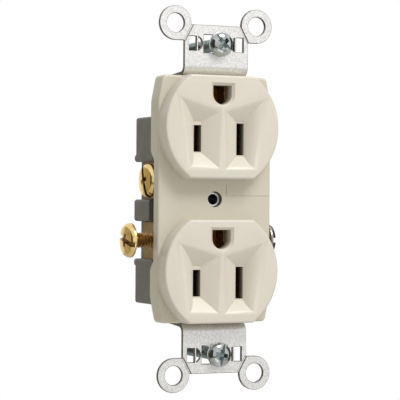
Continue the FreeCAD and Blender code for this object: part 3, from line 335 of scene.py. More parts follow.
def plated(name, light, dark, rough, patch_mm, depth_mm=0.002, rub=(1, 1, 1), metallic=1.0):
    """Metal with mottled plating, rub marks along the rolled direction and fine unevenness."""
    finish, tree, shader = new_finish(name, metallic)
    mottle = noise(tree, patch_mm, detail=4.0)
    tree.links.new(two_tones(tree, mottle, dark, light), shader.inputs["Base Color"])
    marks = noise(tree, MARKS_MM, stretch=rub)
    roughness = spread(tree, marks, rough - METAL_SWING, rough + METAL_SWING)
    tree.links.new(roughness, shader.inputs["Roughness"])
    grain(tree, shader, marks, depth_mm)
    return finish


# Each metal: light and dark tone, roughness, size of its patches in mm.
zinc = plated("zinc_plating", (0.87, 0.86, 0.85), (0.66, 0.65, 0.63), 0.42, 0.4,
              depth_mm=0.008, rub=(1, 1, 0.5), metallic=0.8)
# Sheared edges: bare steel, darkened further as painted shade along the outlines.
sheared = plated("sheared_steel_painted_shade", (0.20, 0.19, 0.17), (0.09, 0.085, 0.075), 0.45, 0.6,
                 depth_mm=0.010, rub=(1, 0.3, 1))
bright_zinc = plated("bright_zinc", (0.54, 0.57, 0.56), (0.38, 0.41, 0.40), 0.12, 1.4,
                     depth_mm=0.001)
# Darker copies for the recess and thread of a screw: painted shade.
zinc_painted_shade = plated("zinc_painted_shade", (0.36, 0.41, 0.41), (0.15, 0.19, 0.19), 0.30, 0.6,
                     depth_mm=0.004)
# The side plates' sheet is rougher, and its dark tone is painted shade from the screw bays.
brass_sheet_painted_shade = plated("brass_sheet_painted_shade", (0.33, 0.23, 0.095), (0.23, 0.15, 0.055), 0.42, 1.2,
                     depth_mm=0.004, rub=(1, 1, 0.4))
# The rivet's bore: near black, painted shade in the deep hole.
tapped = plated("bore_painted_shade", (0.05, 0.05, 0.045), (0.02, 0.02, 0.018), 0.45, 0.4,
                depth_mm=0.004)
brass = plated("brass", (0.90, 0.70, 0.34), (0.74, 0.51, 0.19), 0.19, 2.2)
# Darker copies of brass and nickel for recesses and threads: painted shade.
brass_painted_shade = plated("brass_painted_shade", (0.42, 0.26, 0.09), (0.20, 0.10, 0.03), 0.34, 0.4,
                      depth_mm=0.004)
nickel = plated("nickel_plating", (0.46, 0.42, 0.37), (0.30, 0.27, 0.24), 0.24, 2.0)
nickel_painted_shade = plated("nickel_painted_shade", (0.38, 0.34, 0.29), (0.22, 0.19, 0.16), 0.34, 0.5,
                       depth_mm=0.004)
bronze = plated("phosphor_bronze", (0.62, 0.38, 0.20), (0.45, 0.25, 0.12), 0.32, 2.0,
                depth_mm=0.002, rub=(1, 1, 0.2))
wiped_contact = plated("wiped_contact", (0.84, 0.55, 0.24), (0.50, 0.30, 0.12), 0.36, 1.0,
                       depth_mm=0.004)
# The blade clips' dark tone, far below their bronze, is painted shade.
contact_painted_shade = plated("contact_painted_shade", (0.36, 0.23, 0.10), (0.14, 0.09, 0.04), 0.42, 0.8,
                      depth_mm=0.004)
green = plated("green_chromate", (0.10, 0.42, 0.16), (0.05, 0.28, 0.10), 0.30, 1.6)
print([item.name for item in (zinc, bright_zinc, brass, nickel, bronze, green)])

# %% [markdown]
# Each imported solid takes the finish of the material that its record names. Two kinds differ from
# their material: the side plates are rolled sheet, rougher than a turned screw of the same brass
# and painted darker as shade from the screw bays, and of the contacts the ground ones are wiped
# bright at their mouths, while the blade clips, deep in their slots, are painted dark as shade.

# %% Finishes for the imported solids
FINISHES = {
    "almond_nylon": almond, "grey_thermoplastic": grey, "zinc_steel": zinc, "brass": brass,
    "nickel_silver": nickel, "phosphor_bronze": bronze, "green_steel": green,
}
slot_of = {row["node"]: row["material_slot"] for row in frame["record"]["subparts"]}
for name, node in nodes.items():
    finish = FINISHES[slot_of[name]]
    # Blade clips and side plates take finishes with painted shade; ground contacts are wiped
    # bright.
    if "contact" in name and "rivet" not in name:
        finish = wiped_contact if "ground" in name else contact_painted_shade
    elif "plate" in name and finish is brass:
        finish = brass_sheet_painted_shade
    node.material_slots[0].material = finish
print(len(slot_of), "solids finished")

# %% [markdown]
# ## Tools for the pieces
#
# Operators act on whatever is selected, so each step starts with nothing selected but its own
# piece. Faces and edges are then selected in code, by a test of their place or direction.

# %% Selecting
def select_only(piece):
    """Selects one object alone and makes it active."""
    bpy.ops.object.select_all(action="DESELECT")
    piece.select_set(True)
    bpy.context.view_layer.objects.active = piece


def pick(piece, kind, test):
    """Selects and counts the vertices, edges or faces that pass a test, from edit mode."""
    bpy.ops.mesh.select_mode(type=kind)
    bpy.ops.mesh.select_all(action="DESELECT")
    bpy.ops.object.mode_set(mode="OBJECT")
    mesh = piece.data
    parts = {"VERT": mesh.vertices, "EDGE": mesh.edges, "FACE": mesh.polygons}[kind]
    for part in parts:
        part.select = test(part)
    bpy.ops.object.mode_set(mode="EDIT")
    return sum(part.select for part in parts)


def edge_ends(piece, edge):
    """The two points that an edge joins."""
    return [piece.data.vertices[index].co for index in edge.vertices]


def edge_middle(piece, edge):
    """The point halfway along an edge."""
    first, second = edge_ends(piece, edge)
    return (first + second) / 2


# %% [markdown]
# A primitive is only a start: it is shaped by extruding, bevelling and by booleans with a tool,
# and its place is then put into its mesh, because every finished piece sits at the origin.

# %% Shaping
# A face looks along an axis when this much of its normal does.
FACING = 0.9


def new_primitive(operator, name, **settings):
    """Adds a primitive with nothing else selected and names it."""
    bpy.ops.object.select_all(action="DESELECT")
    operator(**settings)
    piece = bpy.context.object
    piece.name = name
    piece.data.name = name
    return piece


def fix_place(piece):
    """Puts the piece's place into its mesh, so the object sits at the origin, unturned."""
    select_only(piece)
    bpy.ops.object.transform_apply(location=True, rotation=True, scale=True)


def bevel_edges(piece, test, width, segments, **settings):
    """Bevels the edges that pass a test and returns how many they were."""
    select_only(piece)
    bpy.ops.object.mode_set(mode="EDIT")
    count = pick(piece, "EDGE", test)
    bpy.ops.mesh.bevel(offset=width, segments=segments, affect="EDGES", **settings)
    bpy.ops.object.mode_set(mode="OBJECT")
    return count


def face_outwards(piece):
    """Turns all faces of a closed piece outwards."""
    select_only(piece)
    bpy.ops.object.mode_set(mode="EDIT")
    bpy.ops.mesh.select_all(action="SELECT")
    bpy.ops.mesh.normals_make_consistent(inside=False)
    bpy.ops.object.mode_set(mode="OBJECT")


def cut(piece, tool, operation="DIFFERENCE"):
    """Applies a boolean with the tool and removes the tool."""
    step = piece.modifiers.new(operation.lower(), "BOOLEAN")
    step.operation = operation
    step.solver = "EXACT"
    step.object = tool
    select_only(piece)
    bpy.ops.object.modifier_apply(modifier=step.name)
    bpy.data.objects.remove(tool)


# %% [markdown]
# Last come the shading, the finish of each face, and the calls that say which body a piece rides
# on and which solid it stands for.

# %% Finishing a piece
def smooth(piece, degrees=35):
    """Shades smoothly across edges that turn by less than this angle."""
    select_only(piece)
    bpy.ops.object.shade_smooth_by_angle(angle=math.radians(degrees))


def keep_flats(piece):
    """Lets large faces rule the shading, so that they stay flat beside small rounded edges."""
    step = piece.modifiers.new("flats", "WEIGHTED_NORMAL")
    step.keep_sharp = True
    select_only(piece)
    bpy.ops.object.modifier_apply(modifier=step.name)


def set_finishes(piece, *finishes):
    """Fills the piece's material slots in order and keeps which face has which."""
    for index, finish in enumerate(finishes):
        if index < len(piece.data.materials):
            piece.data.materials[index] = finish
        else:
            piece.data.materials.append(finish)


def share_faces(piece, test):
    """Gives the faces that pass a test the second finish, and all others the first."""
    for face in piece.data.polygons:
        face.material_index = int(test(face))


def finish_piece(piece, body, slot, *replaced):
    """Attaches the piece to its body and hides the CAD nodes that it stands for; the slot is not
    used.
    """
    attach(piece, body)
    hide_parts(*replaced)
    print(piece.name, len(piece.data.polygons), "faces, rides on", body)


# %% [markdown]
# ## Threaded screws
#
# A screw is rolled from wire: a V thread with flattened crests winds down to a tapered tip, and
# the head is upset and struck with a recess. The thread is one V of the profile, screwed through
# its pitch by the Screw modifier so that each turn meets the next, then cut square at both ends.
# Intersecting it with a turned blank flattens the crests and gives the taper. A bump map would
# save faces, but the backed-out screw shows its threads in outline, so they are real.

# %% The shank
PITCH = 0.794 * MM
THREAD_STEPS = 28
# The V's point stands this far outside the blank, which cuts it flat.
CREST_OVER = 0.037 * MM
BLANK_SIDES = 48
# The blank's end is all that lies beyond this share of the length.
TIP_ZONE = 0.9


def thread_profile(name, radius, length):
    """One V of the thread, open towards the axis, one pitch below the tip."""
    root = radius + CREST_OVER - PITCH / 2
    profile = new_primitive(bpy.ops.mesh.primitive_circle_add, name, vertices=4,
                            radius=PITCH / 2, location=(root, 0, -length - PITCH),
                            rotation=(math.pi / 2, 0, 0))
    fix_place(profile)
    bpy.ops.object.mode_set(mode="EDIT")
    inner = min(vertex.co.x for vertex in profile.data.vertices)
    pick(profile, "VERT", lambda vertex: abs(vertex.co.x - inner) < PITCH / 8)
    bpy.ops.mesh.delete(type="VERT")
    bpy.ops.object.mode_set(mode="OBJECT")
    return profile


def threaded_shank(name, radius, length, taper):
    """A threaded rod from the head's underside at Z = 0 down to its tip."""
    rod = thread_profile(name, radius, length)
    winding = rod.modifiers.new("winding", "SCREW")
    winding.screw_offset = PITCH
    winding.iterations = math.ceil(length / PITCH) + 2
    winding.steps = winding.render_steps = THREAD_STEPS
    bpy.ops.object.modifier_apply(modifier=winding.name)
    bpy.ops.object.mode_set(mode="EDIT")
    bpy.ops.mesh.select_all(action="SELECT")
    bpy.ops.mesh.remove_doubles(threshold=PITCH / 100)
    for height, clear_below in ((-length, True), (0, False)):
        bpy.ops.mesh.select_all(action="SELECT")
        bpy.ops.mesh.bisect(plane_co=(0, 0, height), plane_no=(0, 0, 1), use_fill=True,
                            clear_inner=clear_below, clear_outer=not clear_below)
    bpy.ops.object.mode_set(mode="OBJECT")
    face_outwards(rod)

    blank = new_primitive(bpy.ops.mesh.primitive_cylinder_add, "blank", vertices=BLANK_SIDES,
                          radius=radius, depth=length * 2, location=(0, 0, 0))
    fix_place(blank)
    bevel_edges(blank, lambda edge: edge_middle(blank, edge).z < -length * TIP_ZONE, taper,
                segments=1)
    cut(rod, blank, "INTERSECT")
    return rod


print("thread of", round(PITCH / MM, 3), "mm pitch in", THREAD_STEPS, "steps a turn")

# %% [markdown]
# The head is upset from the same wire in a die: a straight rim and a low dome. A cylinder gives
# the rim, and its top is extruded and narrowed once for each ring of the dome. A terminal screw
# has a nearly flat dome with a firm shoulder, and a mounting screw a rounder one.

# %% The head
HEAD_SIDES = 72
HEAD_EDGE = 0.12 * MM
# Share of the radius that counts as full width, and step in height that counts as level.
FULL_WIDTH, LEVEL = 0.97, 1e-7
# Share of the head's radius and height at each step of its outline, from the rim inwards.
LOW_DOME = ((1.0, 0.34), (0.93, 0.70), (0.90, 0.80), (0.86, 0.86), (0.72, 0.925),
            (0.5, 0.975), (0.3, 1.0))
ROUND_HEAD = ((1.0, 0.36), (0.95, 0.60), (0.84, 0.80), (0.67, 0.93), (0.45, 0.99), (0.2, 1.0))


def is_rim(head, edge, radius):
    """Whether an edge runs round the head at its full width."""
    first, second = edge_ends(head, edge)
    reach = math.hypot(*edge_middle(head, edge).xy)
    return abs(first.z - second.z) < LEVEL and reach > FULL_WIDTH * radius


def screw_head(name, radius, height, outline):
    """A head above Z = 0: a straight rim, then one extruded ring for each step of the outline."""
    rim = outline[0][1] * height
    head = new_primitive(bpy.ops.mesh.primitive_cylinder_add, name, vertices=HEAD_SIDES,
                         radius=radius, depth=rim, location=(0, 0, rim / 2))
    fix_place(head)
    bpy.ops.object.mode_set(mode="EDIT")
    pick(head, "FACE", lambda face: face.normal.z > FACING)
    for (before, below), (reach, rise) in zip(outline, outline[1:]):
        step = (0, 0, (rise - below) * height)
        bpy.ops.mesh.extrude_region_move(TRANSFORM_OT_translate={"value": step})
        share = reach / before
        bpy.ops.transform.resize(value=(share, share, 1), center_override=(0, 0, 0))
    bpy.ops.object.mode_set(mode="OBJECT")
    bevel_edges(head, lambda edge: is_rim(head, edge, radius), HEAD_EDGE, segments=3)
    return head


print("outlines of", len(LOW_DOME), "and", len(ROUND_HEAD), "steps")

# %% [markdown]
# The recess takes either driver: a straight slot right across the head, and a cross that tapers
# towards its floor. Both are bars, joined into one tool that strikes the head in one boolean. The
# faces it leaves take the rougher, darker finish, whose dark tone is painted shade.

# %% The drive recess
SLOT_WIDTH, CROSS_WIDTH = 1.3 * MM, 1.5 * MM
CROSS_REACH, CROSS_DEPTH = 4.6 * MM, 1.35 * MM
CROSS_TAPER = 0.55
# Shares of the head's radius and height between which its recess lies.
RECESS_REACH, FLOOR_BELOW, WALL_ABOVE = 0.8, 0.6, 0.1
# A wall of the recess looks up or down by less than this.
STEEP = 0.5


def drive_recess(slot_depth, head_radius, top):
    """The tool that strikes a straight slot and a tapered cross into a head."""
    slot_bar = new_primitive(bpy.ops.mesh.primitive_cube_add, "slot_bar", size=1,
                             location=(0, 0, top),
                             scale=(head_radius * 3, SLOT_WIDTH, slot_depth * 2))
    fix_place(slot_bar)
    for turn in (0, math.pi / 2):
        bar = new_primitive(bpy.ops.mesh.primitive_cube_add, "cross_bar", size=1,
                            location=(0, 0, top), rotation=(0, 0, turn),
                            scale=(CROSS_REACH, CROSS_WIDTH, CROSS_DEPTH * 2))
        fix_place(bar)
        bpy.ops.object.mode_set(mode="EDIT")
        pick(bar, "FACE", lambda face: face.normal.z < -FACING)
        bpy.ops.transform.resize(value=(CROSS_TAPER, CROSS_TAPER, 1),
                                 center_override=(0, 0, 0))
        bpy.ops.object.mode_set(mode="OBJECT")
        cut(slot_bar, bar, "UNION")
    return slot_bar


def is_struck(face, head_radius, head_height):
    """Whether a face belongs to the floor or the walls of the drive recess."""
    reach = math.hypot(face.center.x, face.center.y) / head_radius
    is_floor = face.normal.z > FACING and 0 < face.center.z < FLOOR_BELOW * head_height
    is_wall = abs(face.normal.z) < STEEP and face.center.z > WALL_ABOVE * head_height
    return reach < RECESS_REACH and (is_floor or is_wall)


print("slot", round(SLOT_WIDTH / MM, 2), "mm wide, cross", round(CROSS_REACH / MM, 2), "mm across")

# %% [markdown]
# Head, thread and recess make a screw. The long mounting screws also have a plain neck under the
# head, thinner than the thread, where the strap's slot holds them.

# %% A whole screw
TIP_TAPER = 0.6 * MM
NECK_SIDES, NECK_RELIEF = 40, 0.4 * MM
# The thread's rougher finish, darkened with painted shade, starts this far under the head.
UNDER_HEAD = -0.02 * MM


def make_screw(name, head_radius, head_height, outline, slot_depth, thread_radius, length,
               neck=0.0):
    """A whole screw on the Z axis, head up, its underside at Z = 0."""
    screw = screw_head(name, head_radius, head_height, outline)
    thread_start = -neck if neck else head_height / 4
    rod = threaded_shank("rod", thread_radius, length + thread_start, TIP_TAPER)
    rod.location.z = thread_start
    fix_place(rod)
    if neck:
        stem = new_primitive(bpy.ops.mesh.primitive_cylinder_add, "stem", vertices=NECK_SIDES,
                             radius=thread_radius - NECK_RELIEF, depth=neck * 2,
                             location=(0, 0, -neck / 2))
        cut(rod, stem, "UNION")
    cut(screw, rod, "UNION")
    cut(screw, drive_recess(slot_depth, head_radius, head_height))
    set_finishes(screw, brass, brass_painted_shade)
    share_faces(screw, lambda face: face.center.z < UNDER_HEAD
                or is_struck(face, head_radius, head_height))
    smooth(screw)
    return screw


print("tip taper", round(TIP_TAPER / MM, 2), "mm, neck relief", round(NECK_RELIEF / MM, 2), "mm")

# %% [markdown]
# The seven screws are three kinds: a terminal screw, the same screw with a shorter shank for the
# ground wire, and the long mounting screw with its neck. Each kind is modelled once, head up on
# the Z axis, with its length taken from a solid of its kind.

# %% The three kinds of screw
TERMINAL_HEAD, MOUNTING_HEAD = 1.9 * MM, 2.4 * MM
# Each kind: solid it is measured from, head height, outline, slot depth, thread radius, neck.
KINDS = {
    "terminal": ("hot_screw_upper", TERMINAL_HEAD, LOW_DOME, 1.3 * MM, 2.08 * MM),
    "ground": ("ground_screw", TERMINAL_HEAD, LOW_DOME, 1.3 * MM, 2.08 * MM),
    "mounting": ("mounting_screw_top", MOUNTING_HEAD, ROUND_HEAD, 0.9 * MM, 1.75 * MM, 1.55 * MM),
}


def kind_of_screw(name, node, head_height, outline, slot_depth, thread_radius, neck=0.0):
    """The master for a kind of screw, sized by one of its solids."""
    low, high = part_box(node)
    across = high.z - low.z
    along = high.y - low.y if neck else high.x - low.x
    return make_screw(name, across / 2, head_height, outline, slot_depth, thread_radius,
                      along - head_height, neck)


masters = {kind: kind_of_screw(kind + "_master", *facts) for kind, facts in KINDS.items()}
print({kind: len(master.data.polygons) for kind, master in masters.items()}, "faces")

# %% [markdown]
# Each screw is a copy of its kind's master with a mesh of its own, turned about its axis to where
# the driver left it and then laid along the outlet's side or front, its head where its solid has
# one.

# %% Placing the screws
HEAD_WAYS = {
    "left": (0, -math.pi / 2, 0),
    "right": (0, math.pi / 2, 0),
    "front": (math.pi / 2, 0, 0),
}
# Each screw: kind, way its head faces, turn of its drive in degrees, finishes of head and thread;
# the thread's finish also lines the recess, and for brass, nickel and zinc it is painted shade.
SCREWS = {
    "hot_screw_upper": ("terminal", "left", 20, brass, brass_painted_shade),
    "hot_screw_lower": ("terminal", "left", 75, brass, brass_painted_shade),
    "neutral_screw_upper": ("terminal", "right", 50, nickel, nickel_painted_shade),
    "neutral_screw_lower": ("terminal", "right", 90, nickel, nickel_painted_shade),
    "ground_screw": ("ground", "right", 30, green, green),
    "mounting_screw_top": ("mounting", "front", -45, bright_zinc, zinc_painted_shade),
    "mounting_screw_bottom": ("mounting", "front", 80, bright_zinc, zinc_painted_shade),
}


def place_screw(master, node, way, turn, head_height, *finishes):
    """Copies the master to a screw's solid, drive turned by so many degrees."""
    screw = master.copy()
    screw.data = master.data.copy()
    screw.name = screw.data.name = node + "_threaded"
    bpy.context.scene.collection.objects.link(screw)
    screw.rotation_euler = (0, 0, math.radians(turn))
    fix_place(screw)
    low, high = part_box(node)
    seat = (low + high) / 2
    if way == "left":
        seat.x = low.x + head_height
    elif way == "right":
        seat.x = high.x - head_height
    else:
        seat.y = low.y + head_height
    screw.rotation_euler = HEAD_WAYS[way]
    screw.location = seat
    fix_place(screw)
    set_finishes(screw, *finishes)
    finish_piece(screw, node + "_body", slot_of[node], node)


for node, (kind, way, turn, *finishes) in SCREWS.items():
    place_screw(masters[kind], node, way, turn, KINDS[kind][1], *finishes)
for master in masters.values():
    bpy.data.objects.remove(master)

# %% [markdown]
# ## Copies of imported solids
#
# Where only the edges of a piece need more than its solid carries, the piece starts as a copy of
# the solid. The copy's triangles are merged into whole faces first, so that only its true edges
# are left, and the angle at an edge then tells a corner from a crease.

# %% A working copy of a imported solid
MERGE_WITHIN = 0.005 * MM
# Angles in degrees: faces this nearly level become one, and a corner turns by more than that.
FLAT_WITHIN, CORNER_ANGLE = 0.5, 50


def copy_of(node, name):
    """A new piece with the solid's mesh, its loose triangles merged into whole faces."""
    piece = bpy.data.objects.new(name, nodes[node].data.copy())
    piece.data.name = name
    bpy.context.scene.collection.objects.link(piece)
    select_only(piece)
    bpy.ops.object.mode_set(mode="EDIT")
    bpy.ops.mesh.select_all(action="SELECT")
    bpy.ops.mesh.customdata_custom_splitnormals_clear()
    bpy.ops.mesh.remove_doubles(threshold=MERGE_WITHIN)
    bpy.ops.mesh.dissolve_limited(angle_limit=math.radians(FLAT_WITHIN))
    bpy.ops.object.mode_set(mode="OBJECT")
    return piece


def edge_angles(piece):
    """Angle in degrees between the faces at each edge; a hollow edge has a negative angle."""
    vertices = piece.data.vertices
    sides = {}
    for face in piece.data.polygons:
        corners = list(face.vertices)
        for start, end in zip(corners, corners[1:] + corners[:1]):
            run = vertices[end].co - vertices[start].co
            key = (min(start, end), max(start, end))
            sides.setdefault(key, []).append((face.normal.copy(), run))
    angles = {}
    for key, pair in sides.items():
        if len(pair) == 2:
            (first, run), (second, _) = pair
            sign = -1 if second.dot(first.cross(run)) > 0 else 1
            angles[key] = sign * math.degrees(first.angle(second))
    return angles


print("a corner turns by over", CORNER_ANGLE, "degrees")

# %% [markdown]
# ## The strap
#
# The strap is blanked and bent from galvanised sheet. Its faces keep the rolled, spangled zinc,
# but the punch leaves every sheared edge rounded over on one side and bare on the other. These
# edges take a dark finish, partly bare steel and partly painted shade for the dark line that
# draws the ears, the openings and the score lines to the eye, so the edges between a rolled and a
# sheared face are bevelled and carry that finish too.

# %% The strap's sheared edges
ROLL_OVER = 0.14 * MM
# The tabs with the ears start this far above and below the middle.
TAB_ROOT = 35.5 * MM
# A sheared face looks sideways at least this much, and in a tab to the front at most that much.
SIDEWAYS, FRONTWARDS = 0.4, 0.3
strap = copy_of("mounting_strap", "mounting_strap_stamping")


def is_sheared(face):
    """Whether a face of the strap was made by the punch and not by the rolls."""
    middle, normal = face.center, face.normal
    in_tab = abs(middle.z) > TAB_ROOT
    return abs(normal.x) > SIDEWAYS or (in_tab and abs(normal.y) < FRONTWARDS)


set_finishes(strap, zinc, sheared)
share_faces(strap, is_sheared)
strap_angles = edge_angles(strap)
face_kinds = {}
for face in strap.data.polygons:
    for key in face.edge_keys:
        face_kinds.setdefault(key, set()).add(face.material_index)


def is_rolled_over(edge):
    """Whether a rolled and a sheared face meet at this edge in an outward corner."""
    return len(face_kinds[edge.key]) == 2 and strap_angles.get(edge.key, 0) > CORNER_ANGLE


rolled_over = bevel_edges(strap, is_rolled_over, ROLL_OVER, segments=2, clamp_overlap=False,
                          material=1)
smooth(strap, degrees=30)
keep_flats(strap)
finish_piece(strap, "device", slot_of["mounting_strap"], "mounting_strap")
print(rolled_over, "edges rolled over")

# %% [markdown]
# ## The centre rivet
#
# The tube that takes the wall plate's screw is tapped all the way, and its bore is painted near
# black inside a bright rim: painted shade for the deep hole. The solid gives its outside; a tap of
# the screw's own size cuts the thread, and the rim at the front is rounded.

# %% The tapped tube
RIM_ROUND = 0.25 * MM
# The front rim lies outside this radius and this close to the front end.
RIM_INSIDE, AT_FRONT = 2 * MM, 0.02 * MM
TAP_RADIUS, TAP_TAPER, TAP_OVERRUN = 1.53 * MM, 0.1 * MM, 1.0 * MM
# The thread lies within this radius, and an end face looks along the bore by more than this.
BORE_REACH, END_FACE = 1.56 * MM, 0.98
rivet = copy_of("centre_rivet", "centre_rivet_tube")
rivet_low, rivet_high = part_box("centre_rivet")


def is_front_rim(edge):
    """Whether an edge runs round the outside of the rivet's front end."""
    return all(end.y < rivet_low.y + AT_FRONT and math.hypot(end.x, end.z) > RIM_INSIDE
               for end in edge_ends(rivet, edge))


def is_bore(face):
    """Whether a face belongs to the thread in the rivet."""
    reach = math.hypot(face.center.x, face.center.z)
    return reach < BORE_REACH and abs(face.normal.y) < END_FACE


bevel_edges(rivet, is_front_rim, RIM_ROUND, segments=4)
tap = threaded_shank("tap", TAP_RADIUS, rivet_high.y - rivet_low.y + 2 * TAP_OVERRUN, TAP_TAPER)
tap.rotation_euler = HEAD_WAYS["front"]
tap.location = (0, rivet_low.y - TAP_OVERRUN, 0)
fix_place(tap)
cut(rivet, tap)
set_finishes(rivet, zinc, tapped)
share_faces(rivet, is_bore)
smooth(rivet)
keep_flats(rivet)
finish_piece(rivet, "device", slot_of["centre_rivet"], "centre_rivet")

# %% [markdown]
# ## The cover
#
# Moulded nylon has no sharp edges: the tool is polished by hand, and the part shrinks as it cools.
# The blades find their slots down four funnels whose mouths melt into the face, most of all at the
# outer walls. The solid keeps each funnel as plain facets, and the long edges of its rim and the
# corners of its floor are found in the mesh.

# %% The corners of a funnel
cover = copy_of("front_cover", "front_cover_moulding")
cover_angles = edge_angles(cover)
FACE_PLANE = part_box("front_cover")[0].y
FUNNEL_FLOOR = FACE_PLANE + 2.8 * MM
IN_PLANE = 0.01 * MM
# A funnel's rim and its floor start this far from the outlet's middle.
RIM_FROM, FLOOR_FROM = 0.5 * MM, 2 * MM
# The long edges of a rim are longer than this and turn by more than so many degrees.
SHORTEST_RIM, RIM_ANGLE = 5 * MM, 20


def corners_of(points):
    """Four corners in turn: inner low, outer low, outer high, inner high."""
    low_pair, high_pair = (sorted(pair, key=lambda point: abs(point.x))
                           for pair in (points[:2], points[2:]))
    return [low_pair[0], low_pair[1], high_pair[1], high_pair[0]]


def funnel_corners(side, half):
    """Mouth and floor corners of the funnel on one side (-1 or 1) of one face (-1 low, 1 high)."""
    mouth = {}
    for edge in cover.data.edges:
        ends = edge_ends(cover, edge)
        middle = edge_middle(cover, edge)
        in_face = max(end.y for end in ends) < FACE_PLANE + IN_PLANE
        here = middle.x * side > RIM_FROM and middle.z * half > 0
        is_long = (ends[0] - ends[1]).length > SHORTEST_RIM
        if in_face and here and is_long and cover_angles[edge.key] > RIM_ANGLE:
            for end in ends:
                mouth[(round(end.x / MM, 1), round(end.z / MM, 1))] = end.copy()
    mouth = sorted(mouth.values(), key=lambda point: point.z)
    floor = [vertex.co.copy() for vertex in cover.data.vertices
             if abs(vertex.co.y - FUNNEL_FLOOR) < IN_PLANE and vertex.co.x * side > FLOOR_FROM
             and mouth[0].z < vertex.co.z < mouth[3].z]
    low, high = min(point.z for point in floor), max(point.z for point in floor)
    ends = sorted({round(point.x / MM, 3) * MM for point in floor})
    floor = [Vector((across, FUNNEL_FLOOR, up))
             for up in (low, high) for across in (ends[0], ends[-1])]
    return corners_of(mouth), corners_of(floor)


print("face at", round(FACE_PLANE / MM, 2), "mm, funnel floors at", round(FUNNEL_FLOOR / MM, 2))

# %% [markdown]
# A cutter with the funnel's own corners but flared sides trims each funnel. Its outline at any
# depth lies between mouth and floor, and each side then moves out by its own flare, which dies
# away with depth. A bevel of the mouths would be quicker, but it folds over itself where the
# twisted facets meet in a corner.

# %% The flared outline
# How far each side of a mouth flares, in the order of its corners.
FLARES = {"low": 0.6 * MM, "outer": 2.5 * MM, "high": 0.7 * MM, "inner": 0.45 * MM}
# Share of the funnel's depth at which the flare ends, and what is trimmed off all over.
FLARE_DEPTH, TRIM = 0.95, 0.05 * MM


def moved_out(corners, amounts):
    """Corners of a four-sided outline in XZ after each side moves out by its own amount."""
    centre = sum(corners, Vector()) / 4
    lines = []
    for index, amount in enumerate(amounts):
        start, end = corners[index], corners[(index + 1) % 4]
        way = Vector((end.z - start.z, 0, start.x - end.x)).normalized()
        if way.dot(start - centre) < 0:
            way = -way
        lines.append((way, way.dot(start) + amount))
    moved = []
    for index in range(4):
        (first, reach), (second, other) = lines[index - 1], lines[index]
        scale = first.x * second.z - first.z * second.x
        moved.append(Vector(((reach * second.z - other * first.z) / scale, corners[index].y,
                             (other * first.x - reach * second.x) / scale)))
    return moved


def funnel_ring(mouth, floor, depth):
    """The cutter's outline at a share of the funnel's depth."""
    corners = [start.lerp(end, depth) for start, end in zip(mouth, floor)]
    flare = max(0.0, 1 - math.sqrt(max(depth, 0) / FLARE_DEPTH)) ** 2
    return moved_out(corners, [TRIM + amount * flare for amount in FLARES.values()])


print("flares in mm:", {side: round(amount / MM, 2) for side, amount in FLARES.items()})

# %% [markdown]
# The cutter starts as a cube. Its far side is extruded once for each ring, and the rings' corners
# then take their places, close together at the mouth, where the flare curves most.

# %% Cutting the funnels
FLARE_RINGS, WALL_RINGS = 10, 2
IN_FRONT = 0.5 * MM


def make_cutter(side, half):
    """A cube whose far side is extruded once for each ring; the rings then take their places."""
    mouth, floor = funnel_corners(side, half)
    depths = [FLARE_DEPTH * (step / FLARE_RINGS) ** 2 for step in range(FLARE_RINGS + 1)]
    depths += [FLARE_DEPTH + (1 - FLARE_DEPTH) * step / WALL_RINGS
               for step in range(1, WALL_RINGS + 1)]
    rings = [funnel_ring(mouth, floor, depth) for depth in depths]
    rings[-1] = [corner + Vector((0, TRIM, 0)) for corner in rings[-1]]
    rings.insert(0, [corner - Vector((0, IN_FRONT, 0)) for corner in rings[0]])
    cutter = new_primitive(bpy.ops.mesh.primitive_cube_add, "cutter", size=1)
    bpy.ops.object.mode_set(mode="EDIT")
    pick(cutter, "FACE", lambda face: face.normal.y > FACING)
    for _ in rings[2:]:
        bpy.ops.mesh.extrude_region_move(TRANSFORM_OT_translate={"value": (0, 1, 0)})
    bpy.ops.object.mode_set(mode="OBJECT")
    for vertex in cutter.data.vertices:
        ring = rings[round(vertex.co.y + 0.5)]
        outer, up = vertex.co.x * side > 0, vertex.co.z > 0
        vertex.co = ring[(2 if outer else 3) if up else (1 if outer else 0)]
    face_outwards(cutter)
    return cutter


cutters = [make_cutter(side, half) for side in (-1, 1) for half in (-1, 1)]
for cutter in cutters:
    cut(cover, cutter)
print(len(cutters), "funnels flared")

# %% [markdown]
# A hairline beside the rivet shows where an insert sits in the mould. It is two shallow grooves
# that meet in a corner. They are cut after the funnels, because a cut renumbers the mesh and the
# funnels are found by their edges' numbers.

# %% The insert's hairline
FLANGE_FRONT = -0.5 * MM
LINE_WIDTH = 0.14 * MM
LINE_DEPTH = LINE_WIDTH * 1.2
# Each run: its middle across and up, its width and height.
INSERT_LINES = (
    ((10.2 * MM, 1.0 * MM), (13.6 * MM, LINE_WIDTH)),
    ((3.45 * MM, 2.6 * MM), (LINE_WIDTH, 3.3 * MM)),
)
for (across, up), (width, height) in INSERT_LINES:
    hairline = new_primitive(bpy.ops.mesh.primitive_cube_add, "line", size=1,
                             location=(across, FLANGE_FRONT, up),
                             scale=(width, LINE_DEPTH, height))
    fix_place(hairline)
    cut(cover, hairline)
smooth(cover, degrees=30)
print(len(INSERT_LINES), "runs of the hairline cut")

# %% [markdown]
# The walls of the slots and holes carry the finish with much darker painted shade. Such a wall
# stands along Y and looks at another wall close by, which a ray from its middle finds.

# %% The walls of the slots and holes
WIDEST_HOLE = 8.5 * MM
# The ray starts this far off the wall, and a wall leans towards Y by less than this.
RAY_START_MM, LEAN = 0.05, 0.15


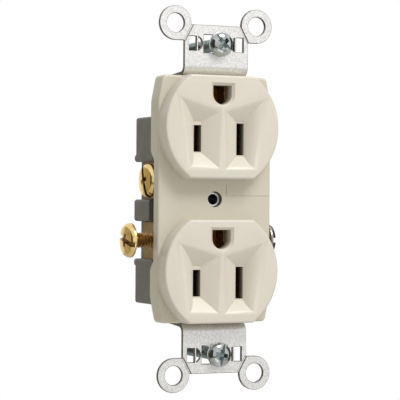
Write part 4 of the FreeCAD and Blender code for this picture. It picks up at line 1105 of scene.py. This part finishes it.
def is_hole_wall(face):
    """Whether a face stands along Y and looks at another wall close by."""
    start = face.center + face.normal * RAY_START_MM * MM
    meets_wall = cover.ray_cast(start, face.normal, distance=WIDEST_HOLE)[0]
    return abs(face.normal.y) < LEAN and meets_wall


set_finishes(cover, almond, painted_wall_shade)
share_faces(cover, is_hole_wall)
finish_piece(cover, "device", slot_of["front_cover"], "front_cover")

# %% [markdown]
# ## The back body
#
# The grey body is moulded of a cheaper, mineral-filled plastic. The blocks that stand beside the
# screw bays come out of the tool with their outer corners rounded, and the rounding catches the
# light along each block. Only those outward corners are rounded here, because the seat of the
# cover is sharp.

# %% Rounding the blocks
BLOCK_ROUND = 0.35 * MM
# The blocks lie further out than this.
BLOCK_INNER = 14.0 * MM
body = copy_of("back_body", "back_body_moulding")
body_angles = edge_angles(body)


def is_block_corner(edge):
    """Whether an edge is an outward corner of one of the blocks beside the screw bays."""
    is_outside = all(abs(end.x) > BLOCK_INNER for end in edge_ends(body, edge))
    return is_outside and body_angles.get(edge.key, 0) > CORNER_ANGLE


rounded = bevel_edges(body, is_block_corner, BLOCK_ROUND, segments=3, clamp_overlap=True)
smooth(body)
keep_flats(body)
set_finishes(body, grey)
finish_piece(body, "device", slot_of["back_body"], "back_body")
print(rounded, "block corners rounded")

# %% [markdown]
# ## The floor
#
# A pale floor catches the outlet's soft shadow. The outlet hangs on a wall, so the floor is well
# below it.

# %% The floor
FLOOR_SIZE, FLOOR_HEIGHT = 6, -0.5
FLOOR_PAINT, FLOOR_ROUGHNESS = (0.88, 0.88, 0.88, 1), 0.8
floor_finish, tree, shader = new_finish("floor_paint")
shader.inputs["Roughness"].default_value = FLOOR_ROUGHNESS
shader.inputs["Base Color"].default_value = FLOOR_PAINT
bpy.ops.mesh.primitive_plane_add(size=FLOOR_SIZE, location=(0, 0, FLOOR_HEIGHT))
floor = bpy.context.object
floor.name = "floor"
floor.data.materials.append(floor_finish)
print("floor", FLOOR_SIZE, "m wide at", FLOOR_HEIGHT, "m")
